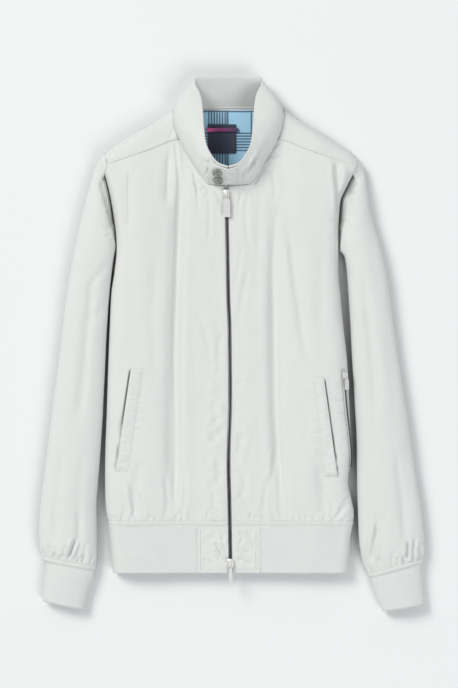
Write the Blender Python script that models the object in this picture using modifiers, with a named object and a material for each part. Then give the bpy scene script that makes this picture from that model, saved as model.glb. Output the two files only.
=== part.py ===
"""A light bomber jacket laid out on its back, front up, with its zip closed.

Every cloth piece is a thin wall over a shape worked out from short tables of sizes.
Sizes are in millimetres and are scaled to metres when a mesh is made.
+X is to the right of the front, +Y towards the collar, +Z up; the back lies on Z = 0.
"""
import math
from collections import namedtuple

import bmesh
import bpy
import numpy as np
from mathutils import Matrix, Vector

# ---------------------------------------------------------------- driving sizes (mm)
MM = 0.001
SHELL = 1.2            # woven shell cloth
RIB = 2.2              # knitted rib
COLLAR_WALL = 2.4      # two layers with interlining
SEAM = 0.3             # distance between pieces at a seam
LIFT = 0.9             # distance of a piece that lies on a curved panel
CENTRE_X = -5.0        # middle line of the collar and the shoulders
WAIST_Y = -271.0       # seam between the body and the waistband
HEM_Y = -343.0         # lower edge of the waistband
RIDGE_Z = 11.0         # height of the fold that runs along each shoulder
RIDGE_ROLL = 18.0      # how far the shoulder rounds down to that fold
RIDGE_SLOPE = 0.82     # cosine of the shoulder's slope
UNDER_ROLL = 16.0      # rounding between a side and the flat underside
TUCK_RISE = 4.0        # extra height over the cloth that is turned under at each side
TUCK_X = 130.0
TUCK_SPREAD = 40.0
OVER = 2.2             # exponent of the upper rounding
UNDER = 2.6            # exponent of the lower rounding

Body = namedtuple("Body", "y left right crown roll edge")
BODY = [
    Body(-343, -178.3, 174.8, 23.0, 15, 10),
    Body(-320, -180.6, 176.8, 23.6, 15, 10),
    Body(-290, -183.0, 178.8, 24.2, 15, 10),
    Body(-271, -184.7, 182.0, 24.8, 15, 11),
    Body(-255, -188.0, 183.5, 26.0, 20, 12),
    Body(-232, -190.0, 179.5, 27.4, 23, 13),
    Body(-207, -190.4, 174.8, 28.0, 24, 13),
    Body(-159, -189.8, 179.6, 28.0, 24, 13),
    Body(-108, -187.9, 177.4, 28.0, 24, 13),
    Body(-30, -185.5, 173.8, 28.0, 24, 13),
    Body(22, -183.4, 168.2, 28.0, 24, 13),
    Body(75, -180.9, 163.1, 28.0, 24, 13),
    Body(110, -176.0, 160.2, 28.0, 22, 13),
    Body(145, -172.9, 160.1, 28.5, 18, 14),
    Body(185, -176.9, 161.4, 29.5, 15, 17),
    Body(216, -181.5, 164.3, 30.0, 14, 18),
    Body(241, -187.0, 175.5, 30.0, 14, 19),
    Body(266, -194.5, 188.0, 29.0, 14, 21),
    Body(284, -198.0, 193.5, 27.0, 14, 20),
]

Ridge = namedtuple("Ridge", "out y")
RIDGE = [Ridge(0, 420), Ridge(60, 371), Ridge(86, 350), Ridge(119, 328.5), Ridge(149, 311.4),
         Ridge(168, 299), Ridge(184, 287.6), Ridge(197, 273), Ridge(205, 262)]

Top = namedtuple("Top", "out y")
NECK_OUT = 74.0        # where the neck seam meets the shoulder seam
FRONT_TOP = [Top(0, 236), Top(28, 237), Top(39, 245), Top(56, 274), Top(NECK_OUT, 305),
             Top(118, 290), Top(154, 277.5), Top(178, 269.5), Top(200, 263)]
NECK_SIDE = 84.0       # half width of the neck along the shoulder folds
BACK_NECK = [Top(0, 357), Top(40, 356), Top(NECK_SIDE, 352)]

Zip = namedtuple("Zip", "y x")
ZIP = [Zip(-343, -1.6), Zip(-237, -3.4), Zip(-174, -4.7), Zip(-84, -2.3), Zip(22, -3.2),
       Zip(75, -5.2), Zip(135, -6.2), Zip(190, -7.3), Zip(245, -8.0)]
ZIP_SLOT = 2.9         # from the middle of the chain to a front edge
CHAIN_HALF = 2.3
CHAIN_THICK = 2.4
CHAIN_TOP_Y = 214.5
CHAIN_END_Y = -319.0
TAPE_TOP_Y = 234.0
TAPE_END_Y = HEM_Y + 2
TAPE_WIDTH = 13.0
TAPE_THICK = 1.0

Fold = namedtuple("Fold", "x_top y_top x_low y_low bow depth spread")
FOLDS = [
    Fold(-74, 292, -87.7, -285, -5, 8.0, 10),
    Fold(70, 228, 77.0, -285, -8, 7.0, 10),
    Fold(80, 212, 113.0, -40, 3, 4.0, 9),
    Fold(-93, 296, -97.0, 200, 0, 3.5, 7),
    Fold(-153, 262, -153.5, 165, 0, 2.5, 7),
    Fold(-136, -170, -142.0, -262, -3, 3.0, 8),
    Fold(128, -175, 138.0, -262, 3, 3.0, 8),
]
FOLD_FADE = 0.12       # part of a fold's length over which it dies away

Rib = namedtuple("Rib", "outer_x outer_y inner_x inner_y top middle")
SLEEVE_LEFT = [
    Rib(-199.5, 279.0, -173.6, 145.0, 0, 7),
    Rib(-207.4, 261.0, -174.6, 141.8, 25, 10),
    Rib(-214.1, 235.5, -175.6, 137.3, 29, 12),
    Rib(-221.6, 206.3, -176.9, 130.5, 31, 13),
    Rib(-230.2, 169.8, -178.8, 118.5, 31, 13),
    Rib(-238.9, 127.8, -181.4, 94.5, 31, 13),
    Rib(-246.5, 85.5, -184.2, 63.0, 31, 13),
    Rib(-253.1, 34.5, -187.1, 24.0, 31, 13),
    Rib(-262.1, -43.5, -190.4, -43.5, 31, 13),
    Rib(-268.6, -90.0, -192.7, -90.0, 31, 13),
    Rib(-275.2, -142.5, -195.8, -142.5, 31, 13),
    Rib(-282.5, -204.0, -200.3, -204.0, 31, 13),
    Rib(-287.5, -244.5, -202.9, -244.5, 31, 13),
    Rib(-289.3, -282.0, -202.4, -288.0, 31, 13),
    Rib(-288.2, -308.0, -202.5, -318.0, 29, 12),
    Rib(-284.0, -322.0, -205.0, -335.5, 25, 11),
]
SLEEVE_RIGHT = [
    Rib(195.0, 277.5, 160.9, 143.0, 0, 7),
    Rib(199.8, 262.5, 162.6, 139.5, 25, 10),
    Rib(203.2, 234.0, 164.9, 137.3, 29, 12),
    Rib(207.1, 204.0, 167.6, 134.3, 31, 13),
    Rib(214.9, 174.0, 170.4, 126.0, 31, 13),
    Rib(224.6, 141.0, 172.6, 108.0, 31, 13),
    Rib(234.1, 91.5, 175.0, 78.0, 31, 13),
    Rib(241.9, 39.0, 178.0, 33.0, 31, 13),
    Rib(253.6, -42.0, 181.9, -42.0, 31, 13),
    Rib(261.4, -96.0, 184.7, -96.0, 31, 13),
    Rib(269.6, -151.5, 187.3, -151.5, 31, 13),
    Rib(277.9, -208.5, 188.5, -208.5, 31, 13),
    Rib(284.6, -247.5, 189.6, -247.5, 31, 13),
    Rib(288.4, -282.0, 191.2, -294.0, 31, 13),
    Rib(289.4, -309.0, 196.1, -328.5, 29, 12),
    Rib(287.0, -325.0, 205.0, -346.0, 25, 11),
]
CUFF_LEFT = [
    Rib(-281.6, -324.4, -206.2, -338.6, 24, 11),
    Rib(-279.6, -336.0, -207.4, -348.0, 25, 11),
    Rib(-281.6, -358.5, -215.6, -370.0, 25, 11),
    Rib(-284.4, -386.0, -222.5, -399.0, 24, 11),
]
CUFF_RIGHT = [
    Rib(285.4, -327.6, 206.6, -349.4, 24, 11),
    Rib(285.2, -340.0, 209.6, -358.0, 25, 11),
    Rib(286.9, -364.5, 217.9, -381.0, 25, 11),
    Rib(289.3, -391.0, 226.5, -401.4, 24, 11),
]
Crease = namedtuple("Crease", "at y_top y_low depth spread")
SLEEVE_CREASES = [Crease(0.42, 110, -120, 3.0, 0.10), Crease(0.70, -150, -310, 3.0, 0.07),
                  Crease(0.30, -230, -325, 3.5, 0.06)]
CREASE_FADE = 40.0     # length over which a sleeve's crease dies away

Strip = namedtuple("Strip", "seam_out seam_y seam_z top_out top_y top_z swell")
COLLAR = [
    Strip(0.0, 358.2, 0.4, 0.0, 401.4, 24.0, 0),
    Strip(27.0, 358.0, 0.4, 25.5, 401.4, 24.5, 0),
    Strip(52.0, 357.4, 2.0, 43.5, 400.8, 26.0, 1),
    Strip(73.0, 356.0, 8.0, 50.5, 396.0, 28.0, 4),
    Strip(82.0, 351.6, 18.0, 48.5, 386.5, 32.0, 7),
    Strip(82.6, 342.5, 28.6, 43.2, 376.5, 37.0, 9),
    Strip(80.0, 329.5, 32.2, 39.8, 364.0, 42.0, 9),
    Strip(75.2, 314.0, 33.0, 38.0, 347.5, 47.0, 8),
    Strip(66.0, 294.0, 33.0, 36.6, 324.0, 53.0, 7),
    Strip(54.4, 273.5, 32.5, 34.0, 300.0, 58.0, 6),
    Strip(43.0, 253.0, 31.6, 26.5, 281.5, 61.5, 5),
    Strip(29.0, 240.0, 31.0, 14.0, 267.0, 64.0, 4),
    Strip(1.2, 238.4, 31.0, 0.8, 262.0, 65.0, 3),
]

# ---------------------------------------------------------------- rules for the shapes


def smooth(rows, key, value, at):
    """Read a table column between its rows on a monotone cubic curve."""
    x = np.array([getattr(row, key) for row in rows], float)
    y = np.array([getattr(row, value) for row in rows], float)
    step = np.diff(x)
    slope = np.diff(y) / step
    turn = np.zeros(len(x))
    same = slope[:-1] * slope[1:] > 0
    turn[1:-1][same] = 2.0 / (1.0 / slope[:-1][same] + 1.0 / slope[1:][same])
    turn[0], turn[-1] = slope[0], slope[-1]
    at = np.clip(at, x[0], x[-1])
    i = np.clip(np.searchsorted(x, at) - 1, 0, len(x) - 2)
    t = (at - x[i]) / step[i]
    return (y[i] * (1 + 2 * t) * (1 - t) ** 2 + step[i] * turn[i] * t * (1 - t) ** 2
            + y[i + 1] * t * t * (3 - 2 * t) + step[i] * turn[i + 1] * t * t * (t - 1))


def ease(t):
    """Rise smoothly from 0 to 1."""
    t = np.clip(t, 0.0, 1.0)
    return t * t * (3 - 2 * t)


def rounding(distance, radius):
    """Height, from 0 to 1, of a rounded side at a distance in from its edge."""
    inward = 1.0 - np.clip(distance / radius, 0.0, 1.0)
    return (1.0 - inward ** OVER) ** (1.0 / OVER)


def fold_depth(x, y):
    """How far the long vertical folds lower the front at a point."""
    depth = 0.0
    for fold in FOLDS:
        t = (fold.y_top - y) / (fold.y_top - fold.y_low)
        line = fold.x_top + (fold.x_low - fold.x_top) * t + fold.bow * np.sin(math.pi * np.clip(t, 0, 1))
        fade = ease(t / FOLD_FADE) * ease((1 - t) / FOLD_FADE)
        depth = depth + fold.depth * fade * np.exp(-((x - line) / fold.spread) ** 2)
    return depth


def ridge_distance(x, y):
    """Distance of a point below the fold that runs along the shoulder."""
    return (smooth(RIDGE, "out", "y", np.abs(x - CENTRE_X)) - y) * RIDGE_SLOPE


def side_edge(side, y):
    """X of the body's side, or of its armhole above the underarm."""
    return smooth(BODY, "y", "left" if side < 0 else "right", y)


def height(x, y):
    """Height of the front's outer face over a point of the plan."""
    crown = smooth(BODY, "y", "crown", y)
    tuck = TUCK_RISE * np.exp(-((np.abs(x - CENTRE_X) - TUCK_X) / TUCK_SPREAD) ** 2)
    edge = smooth(BODY, "y", "edge", y)
    inside = np.minimum(x - side_edge(-1, y), side_edge(1, y) - x)
    side = edge + (crown + tuck - fold_depth(x, y) - edge) * rounding(inside, smooth(BODY, "y", "roll", y))
    return RIDGE_Z + (side - RIDGE_Z) * rounding(ridge_distance(x, y), RIDGE_ROLL)


def zip_x(y):
    """X of the middle of the zip."""
    return smooth(ZIP, "y", "x", y)


def front_top(x):
    """Y of the neck seam or the shoulder seam over a point."""
    return smooth(FRONT_TOP, "out", "y", np.abs(x - CENTRE_X))


def roll_point(side, angle, y):
    """Point on the rounded side: 0 is where the rounding starts, 90 the side, 180 the underside."""
    turn = math.radians(angle)
    edge_x, edge_z = side_edge(side, y), smooth(BODY, "y", "edge", y)
    if angle <= 90:
        reach = smooth(BODY, "y", "roll", y)
        x = edge_x - side * reach * (1 - math.sin(turn) ** (2 / OVER))
        return np.array([x, y, height(x, y)])
    x = edge_x - side * UNDER_ROLL * (1 - abs(math.sin(turn)) ** (2 / UNDER))
    return np.array([x, y, edge_z * (1 - abs(math.cos(turn)) ** (2 / UNDER))])


def moved_out(surface, u, v, distance, step=0.4):
    """Point of a two-way surface, moved out along its normal."""
    here = surface(u, v)
    across = surface(u + step, v) - surface(u - step, v)
    along = surface(u, v + step) - surface(u, v - step)
    normal = np.cross(across, along)
    return here + normal / np.linalg.norm(normal) * distance


# ---------------------------------------------------------------- Blender helpers


def clear_scene():
    """Remove the objects of the scene."""
    for item in list(bpy.data.objects):
        bpy.data.objects.remove(item, do_unlink=True)


def make_material(name, colour, roughness, metallic=0.0):
    """Principled material of one colour."""
    material = bpy.data.materials.new(name)
    material.use_nodes = True
    shader = material.node_tree.nodes["Principled BSDF"]
    shader.inputs["Base Color"].default_value = (*colour, 1.0)
    shader.inputs["Roughness"].default_value = roughness
    shader.inputs["Metallic"].default_value = metallic
    return material


def place(name, mesh, material, collection):
    """New object for a mesh, in the jacket's collection."""
    mesh.materials.clear()
    mesh.materials.append(material)
    item = bpy.data.objects.new(name, mesh)
    collection.objects.link(item)
    return item


def grid_mesh(name, grids, ring=False):
    """Open mesh over one or more grids of points; grids that share an edge are joined there."""
    work = bmesh.new()
    for grid in grids:
        corners = [[work.verts.new(Vector(point) * MM) for point in row] for row in grid]
        span = len(corners[0]) if ring else len(corners[0]) - 1
        for low, high in zip(corners, corners[1:]):
            for i in range(span):
                j = (i + 1) % len(low)
                work.faces.new((low[i], low[j], high[j], high[i]))
    bmesh.ops.remove_doubles(work, verts=work.verts, dist=0.00001)
    mesh = bpy.data.meshes.new(name)
    work.to_mesh(mesh)
    work.free()
    mesh.shade_smooth()
    return mesh


def wall(name, grids, thickness, material, collection, ring=False):
    """Cloth wall: an open surface with a thickness on its inner side."""
    item = place(name, grid_mesh(name, grids, ring), material, collection)
    shell = item.modifiers.new("wall", "SOLIDIFY")
    shell.thickness = thickness * MM
    shell.offset = -1.0
    shell.use_rim = True
    return item


def flipped(grid):
    """The same grid with its outer side the other way."""
    return [list(reversed(row)) for row in grid]


# ---------------------------------------------------------------- body panels

FRONT_COLUMNS = 17
FRONT_ROWS = 19
ROLL_COLUMNS = 7
SIDE_SEAM_ANGLE = 122.0
BACK_SEAM_ANGLE = 129.0
ARMHOLE_ANGLE = 90.0
UNDERARM_Y = 145.0
ARMHOLE_IN = 1.2       # back's armhole edge, in from the front's


def seam_angle(y):
    """Where the front ends on the rounded side: lower side, or the armhole seam."""
    return SIDE_SEAM_ANGLE + (ARMHOLE_ANGLE - SIDE_SEAM_ANGLE) * float(ease((y - 95) / (UNDERARM_Y - 95)))


def settle_top(x_at, limit):
    """Y at which a column that leans with height meets a top edge."""
    y = 260.0
    for _ in range(12):
        y = float(limit(x_at(y)))
    return y


def front_grid(side):
    """Points of a front, from the zip round the side, waist to neck and shoulder."""
    columns = []
    for i in range(FRONT_COLUMNS + ROLL_COLUMNS):
        flat = i < FRONT_COLUMNS

        def x_at(y, i=i, flat=flat):
            start = zip_x(y) + side * ZIP_SLOT
            reach = smooth(BODY, "y", "roll", y)
            inner = side_edge(side, y) - side * reach
            if flat:
                return start + (inner - start) * i / FRONT_COLUMNS
            angle = seam_angle(y) * (i - FRONT_COLUMNS) / (ROLL_COLUMNS - 1)
            return roll_point(side, angle, y)[0]

        top = settle_top(x_at, front_top) - SEAM
        column = []
        for j in range(FRONT_ROWS):
            y = WAIST_Y + SEAM / 2 + (top - WAIST_Y - SEAM / 2) * front_row(j)
            if flat:
                column.append((x_at(y), y, float(height(x_at(y), y))))
            else:
                angle = seam_angle(y) * (i - FRONT_COLUMNS) / (ROLL_COLUMNS - 1)
                column.append(tuple(roll_point(side, angle, y)))
        columns.append(column)
    grid = [list(row) for row in zip_rows(columns)]
    return grid if side > 0 else flipped(grid)


def front_row(j):
    """Share of a column's length at a row; rows are closer at the waist."""
    t = j / (FRONT_ROWS - 1)
    return 0.75 * t + 0.25 * t * t


def zip_rows(columns):
    """Turn a list of columns into a list of rows."""
    return list(map(list, zip(*columns)))


BACK_ROWS = 11
BACK_SHOULDER = 7
NECK_CORNER = 5.0      # how quickly the back neck meets the shoulder fold
BACK_NECK_STEPS = 5
SIDE_STEPS = 4
WING_UNDER = 4
WING_OVER = 6
SHOULDER_TIP_Y = 284.0


def back_top(x):
    """Y of the back's flat part: the shoulder folds' inner line and the neck."""
    out = abs(x - CENTRE_X)
    shoulder = shoulder_line(x)
    if out >= NECK_SIDE:
        return shoulder
    blend = float(ease((out - NECK_SIDE + NECK_CORNER) / NECK_CORNER))
    return smooth(BACK_NECK, "out", "y", out) * (1 - blend) + shoulder * blend


def back_side(side, step, y):
    """Point between the side seam, step 0, and the flat underside, step 1."""
    low = roll_point(side, BACK_SEAM_ANGLE + (180 - BACK_SEAM_ANGLE) * step, y)
    flat = np.array([side_edge(side, y) - side * (ARMHOLE_IN + (UNDER_ROLL - ARMHOLE_IN) * step), y, 0.0])
    return low + (flat - low) * float(ease((y - 100) / 45.0))


def side_column(side, step):
    """Column of the back between the side seam and the flat underside."""
    top = settle_top(lambda y: back_side(side, step, y)[0], shoulder_line)
    return [tuple(back_side(side, step, y)) for y in back_rows(top)]


def shoulder_line(x):
    """Y of the inner line of the shoulder fold."""
    return smooth(RIDGE, "out", "y", abs(x - CENTRE_X)) - UNDER_ROLL / RIDGE_SLOPE


def back_grids():
    """Points of the back: the flat part with both sides, and a wing over each shoulder."""
    columns = [side_column(-1, k / SIDE_STEPS) for k in range(SIDE_STEPS)]
    for x in back_columns():
        x_at = flat_x(x)
        top = settle_top(x_at, back_top)
        columns.append([(float(x_at(y)), y, 0.0) for y in back_rows(top)])
    columns += [side_column(1, k / SIDE_STEPS) for k in reversed(range(SIDE_STEPS))]
    grids = [flipped(zip_rows(columns))]
    for side in (-1, 1):
        grids.append(flipped(wing_grid(side, columns)))
    return grids


def flat_tip(side, y):
    """X where the flat underside ends at a side."""
    return float(side_edge(side, y)) - side * UNDER_ROLL


def back_columns():
    """X at the top of each column of the flat underside, from left to right."""
    neck = np.linspace(NECK_SIDE - NECK_CORNER, 0, BACK_NECK_STEPS)
    left = np.linspace(flat_tip(-1, SHOULDER_TIP_Y), CENTRE_X - NECK_SIDE, BACK_SHOULDER)
    right = np.linspace(CENTRE_X + NECK_SIDE, flat_tip(1, SHOULDER_TIP_Y), BACK_SHOULDER)
    return np.concatenate([left, CENTRE_X - neck, CENTRE_X + neck[-2::-1], right])


def flat_x(x):
    """X of a column of the flat underside, as a rule of Y."""
    side = -1 if x < CENTRE_X else 1
    reach = flat_tip(side, SHOULDER_TIP_Y) - CENTRE_X

    def x_at(y):
        return CENTRE_X + (x - CENTRE_X) * (flat_tip(side, y) - CENTRE_X) / reach
    return x_at


def back_rows(top):
    """Y of each row of a column of the back."""
    low = WAIST_Y + SEAM / 2
    return [low + (top - low) * (1 - (1 - j / (BACK_ROWS - 1)) ** 1.8) for j in range(BACK_ROWS)]


def wing_grid(side, columns):
    """Points of a wing: round the shoulder fold and down the front to the shoulder seam."""
    tops = [column[-1] for column in columns]
    limit = NECK_SIDE - 1
    start = [p for p in tops if side * (p[0] - CENTRE_X) >= limit]
    wing = []
    for x, y, z in start:
        out = abs(x - CENTRE_X)
        tip = abs(side_edge(side, SHOULDER_TIP_Y) - CENTRE_X)
        lean = (NECK_SIDE - NECK_OUT) * (tip - out) / (tip - NECK_SIDE)
        ridge = float(smooth(RIDGE, "out", "y", out))
        column = [(x, y, z)]
        for k in range(1, WING_UNDER + 1):
            turn = math.radians(180 - 90 * k / WING_UNDER)
            reach = UNDER_ROLL * (1 - abs(math.sin(turn)) ** (2 / UNDER)) / RIDGE_SLOPE
            rise = RIDGE_Z * (1 - abs(math.cos(turn)) ** (2 / UNDER))
            column.append((x, ridge - reach, max(rise, z)))
        end = float(front_top(x - side * lean)) + 1.5 * SEAM
        for k in range(1, WING_OVER + 1):
            turn = math.radians(90 * (1 - k / WING_OVER))
            reach = (ridge - end) * (1 - math.sin(turn))
            over_x = x - side * lean * reach / (ridge - end)
            column.append((over_x, ridge - reach, float(height(over_x, ridge - reach))))
        wing.append(column)
    return zip_rows(wing)


# ---------------------------------------------------------------- sleeves and cuffs

RING = 22              # points round a sleeve or cuff
ARMHOLE_GAP = 1.7      # sleeve to body at the armhole seam
ARMHOLE_RIBS = 4.0     # ribs over which the armhole's curve dies away
SQUARE = 5.0           # exponent of the armhole ring
Station = namedtuple("Station", "at " + " ".join(Rib._fields))


def sleeve_ring(side, rows, number, creases):
    """Ring of points at a place along a tube; a sleeve, which has creases, starts at the armhole."""
    place_rows = [Station(i, *row) for i, row in enumerate(rows)]
    outer = np.array([smooth(place_rows, "at", "outer_x", number), smooth(place_rows, "at", "outer_y", number)])
    inner = np.array([smooth(place_rows, "at", "inner_x", number), smooth(place_rows, "at", "inner_y", number)])
    top, middle = smooth(place_rows, "at", "top", number), smooth(place_rows, "at", "middle", number)
    bend = max(1 - number / ARMHOLE_RIBS, 0.0) ** 1.5 if creases else 0.0
    first = max(1.0 - number, 0.0) if creases else 0.0
    ring = []
    for k in range(RING):
        turn = 2 * math.pi * k / RING
        upper = math.sin(turn) >= 0
        power = OVER if upper else UNDER
        power += (SQUARE - power) * first
        share = 0.5 - 0.5 * math.cos(turn)
        arch = (1 - abs(math.cos(turn)) ** power) ** (1 / power)
        point = inner + (outer - inner) * share
        point[0] += bend * armhole_bend(side, rows[0], share)
        seam = min(smooth(BODY, "y", "edge", point[1]), float(height(point[0] - 3 * side, point[1])))
        peak = top + (seam - top) * first
        for crease in creases:
            along = ease((crease.y_top - point[1]) / CREASE_FADE) * ease((point[1] - crease.y_low) / CREASE_FADE)
            peak -= crease.depth * along * math.exp(-((share - crease.at) / crease.spread) ** 2)
        rise = middle + (peak - middle) * arch if upper else middle * (1 - arch)
        ring.append((point[0], point[1], rise))
    return ring[::-1] if side > 0 else ring


def armhole_bend(side, first, share):
    """How far the armhole seam lies off the straight line between its ends."""
    x = first.inner_x + (first.outer_x - first.inner_x) * share
    y = first.inner_y + (first.outer_y - first.inner_y) * share
    return float(side_edge(side, y)) + side * ARMHOLE_GAP - x


def tube(side, rows, stations, creases=()):
    """Rings of a sleeve or a cuff."""
    return [sleeve_ring(side, rows, number, creases) for number in stations]


SLEEVE_STATIONS = [0, 0.4, 1, 1.7, 2.5, 3.3, 4.2, 5.2, 6.2, 7.2, 8.2, 9.2, 10.2, 11.2, 12.2, 13.1, 14, 14.6, 15]
CUFF_STATIONS = [0, 1, 2, 3]

# ---------------------------------------------------------------- waistband

HEM_GAP = 0.4
HEM_ROWS = 4
RIB_LEFT_END = -51.0   # seams between the rib and the woven end panels
RIB_RIGHT_END = 42.2


def hem_y(j):
    """Y of a row of the waistband."""
    return WAIST_Y - HEM_GAP + (HEM_Y - WAIST_Y + HEM_GAP) * j / (HEM_ROWS - 1)


def hem_ring(y):
    """Points of the rib at a level: front, left side, underside, right side, front."""
    ring = []
    for side, end in ((-1, RIB_LEFT_END), (1, RIB_RIGHT_END)):
        start = side_edge(side, y) - side * smooth(BODY, "y", "roll", y)
        front = [(x, y, float(height(x, y))) for x in np.linspace(end, start, 8)[:-1]]
        angles = np.linspace(0, 180, 11)
        half = front + [tuple(roll_point(side, angle, y)) for angle in angles]
        if side < 0:
            ring += half
            left, right = half[-1][0], side_edge(1, y) - UNDER_ROLL
            ring += [(x, y, 0.0) for x in np.linspace(left, right, 9)[1:-1]]
        else:
            ring += half[::-1]
    return ring


def hem_end_grid(side):
    """Points of the woven end panel on one side of the zip."""
    grid = []
    for j in range(HEM_ROWS):
        y = hem_y(j)
        start = zip_x(y) + side * ZIP_SLOT
        end = (RIB_LEFT_END + SEAM) if side < 0 else (RIB_RIGHT_END - SEAM)
        xs = np.linspace(start, end, 5)
        grid.append([(x, y, float(height(x, y))) for x in xs])
    return grid if side < 0 else flipped(grid)


# ---------------------------------------------------------------- collar, tab and buttons

COLLAR_ROWS = 6
COLLAR_HALF = 21
LEFT_FRONT_END = -1e-6 # place round the collar; a minus sign is the left half
LAST = len(COLLAR) - 1
CollarRow = namedtuple("CollarRow", "at " + " ".join(Strip._fields))
COLLAR_AT = [CollarRow(i, *row) for i, row in enumerate(COLLAR)]


def collar_point(place_round, rise):
    """Point of the collar's outer face: round from -1 to 1 by the back, rise 0 at the seam to 1."""
    side = -1.0 if place_round < 0 else 1.0
    n = LAST * (1 - abs(place_round))
    seam = np.array([smooth(COLLAR_AT, "at", "seam_" + axis, n) for axis in ("out", "y", "z")])
    top = np.array([smooth(COLLAR_AT, "at", "top_" + axis, n) for axis in ("out", "y", "z")])
    swell = smooth(COLLAR_AT, "at", "swell", n)
    point = seam + (top - seam) * rise
    bulge = 4 * rise * (1 - rise) * swell
    along = math.hypot(point[0], 25.0)
    point += np.array([0.8 * point[0] / along, 0.0, 0.7]) * bulge
    return np.array([CENTRE_X + side * point[0], point[1], point[2]])


def collar_grid():
    """Points of the collar from one front end round the back to the other."""
    half = np.linspace(LEFT_FRONT_END, -1.0, COLLAR_HALF)
    path = list(half) + list(-half[-2::-1])
    rises = np.linspace(0, 1, COLLAR_ROWS)
    return flipped([[tuple(collar_point(place_round, rise)) for place_round in path] for rise in rises])


Button = namedtuple("Button", "name across rise")
BUTTONS = [Button("collar_button_upper", -15.8, 0.66), Button("collar_button_lower", -14.6, 0.30)]
BUTTON_RADIUS = 7.6
BUTTON_THICK = 3.2
TAB_LEFT = -29.0
TAB_RIGHT = 12.0
TAB_LOW = 0.06
TAB_HIGH = 0.94
TAB_THICK = 1.8
TAB_LIFT = 0.8


def throat_point(x, rise):
    """Point of the collar's outer face by its distance from the middle line."""
    low, high = 0.0, 0.4
    for _ in range(24):
        place_round = (low + high) / 2
        found = abs(collar_point(place_round, rise)[0] - CENTRE_X)
        low, high = (place_round, high) if found < abs(x) else (low, place_round)
    return collar_point(math.copysign(place_round, x), rise)


def tab_point(x, rise):
    """Point of the tab's outer face."""
    return moved_out(lambda u, v: throat_point(u, v / 100), x, rise * 100, TAB_LIFT + TAB_THICK)


def tab_grid():
    """Points of the throat tab, with a rounded free end over the left side."""
    grid = []
    for rise in np.linspace(TAB_LOW, TAB_HIGH, 5):
        middle = abs(rise - 0.5) / 0.5
        left = TAB_LEFT + 5.0 * middle ** 3
        grid.append([tuple(tab_point(x, rise)) for x in np.linspace(left, TAB_RIGHT, 9)])
    return grid


def make_button(button, material, collection):
    """Round sew-through button with a raised rim, flat on the tab."""
    profile = [(0.0, 0.0), (BUTTON_RADIUS - 0.6, 0.0), (BUTTON_RADIUS, 0.8), (BUTTON_RADIUS, 2.2),
               (BUTTON_RADIUS - 0.9, BUTTON_THICK), (BUTTON_RADIUS - 2.2, 2.4), (0.0, 2.2)]
    item = turned(button.name, profile, 24, material, collection)
    here = tab_point(button.across, button.rise)
    out = moved_out(lambda u, v: tab_point(u, v / 100), button.across, button.rise * 100, 1.0) - here
    item.rotation_mode = "QUATERNION"
    item.rotation_quaternion = Vector(out).to_track_quat("Z", "Y")
    item.location = Vector(here + out * 0.5) * MM
    return item


def turned(name, profile, steps, material, collection):
    """Closed turned shape from a profile of radius and height."""
    work = bmesh.new()
    rings = []
    for radius, rise in profile:
        if radius == 0.0:
            rings.append([work.verts.new((0, 0, rise * MM))])
            continue
        rings.append([work.verts.new((radius * MM * math.cos(2 * math.pi * k / steps),
                                      radius * MM * math.sin(2 * math.pi * k / steps), rise * MM))
                      for k in range(steps)])
    for low, high in zip(rings, rings[1:]):
        for k in range(steps):
            n = (k + 1) % steps
            if len(low) == 1:
                work.faces.new((low[0], high[n], high[k]))
            elif len(high) == 1:
                work.faces.new((low[k], low[n], high[0]))
            else:
                work.faces.new((low[k], low[n], high[n], high[k]))
    mesh = bpy.data.meshes.new(name)
    work.to_mesh(mesh)
    work.free()
    mesh.shade_smooth()
    mesh.set_sharp_from_angle(angle=math.radians(40))
    return place(name, mesh, material, collection)


# ---------------------------------------------------------------- zips

BETWEEN = 0.9          # between a front and its zip tape
SideZip = namedtuple("SideZip", "y angle")
SIDE_ZIP = [SideZip(-192, 78), SideZip(-160, 62), SideZip(-120, 52), SideZip(-80, 44), SideZip(-40, 40)]
SIDE_TAPE_HALF = 3.6
SIDE_CHAIN_HALF = 1.5
SIDE_TAPE_THICK = 0.8
SIDE_CHAIN_THICK = 1.4
SIDE_LIFT = 1.2
DEGREES_ACROSS = 2.6   # degrees of the rounding in each millimetre across it
SIDE_ZIP_TOP = -38.0
SIDE_ZIP_END = -186.0
SIDE_SLIDER_Y = -47.0


def zip_strip(inner, outer, low, high, lift, count=22):
    """Points of a strip that follows the middle zip between two distances from its middle."""
    grid = []
    for y in np.linspace(low, high, count):
        xs = zip_x(y) + np.linspace(inner, outer, 3)
        grid.append([(x, y, float(height(x, y)) + lift) for x in xs])
    return grid


def side_zip_point(across, y, lift):
    """Point over the right side's rounding, by its distance across the side zip."""
    turn = float(smooth(SIDE_ZIP, "y", "angle", y)) + across * DEGREES_ACROSS
    return moved_out(lambda u, v: roll_point(1, u, v), turn, y, lift)


def side_strip(half, low, high, lift, count=9):
    """Points of a strip along the side zip."""
    return [[tuple(side_zip_point(a, y, lift)) for a in np.linspace(-half, half, 4)]
            for y in np.linspace(low, high, count)]


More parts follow.
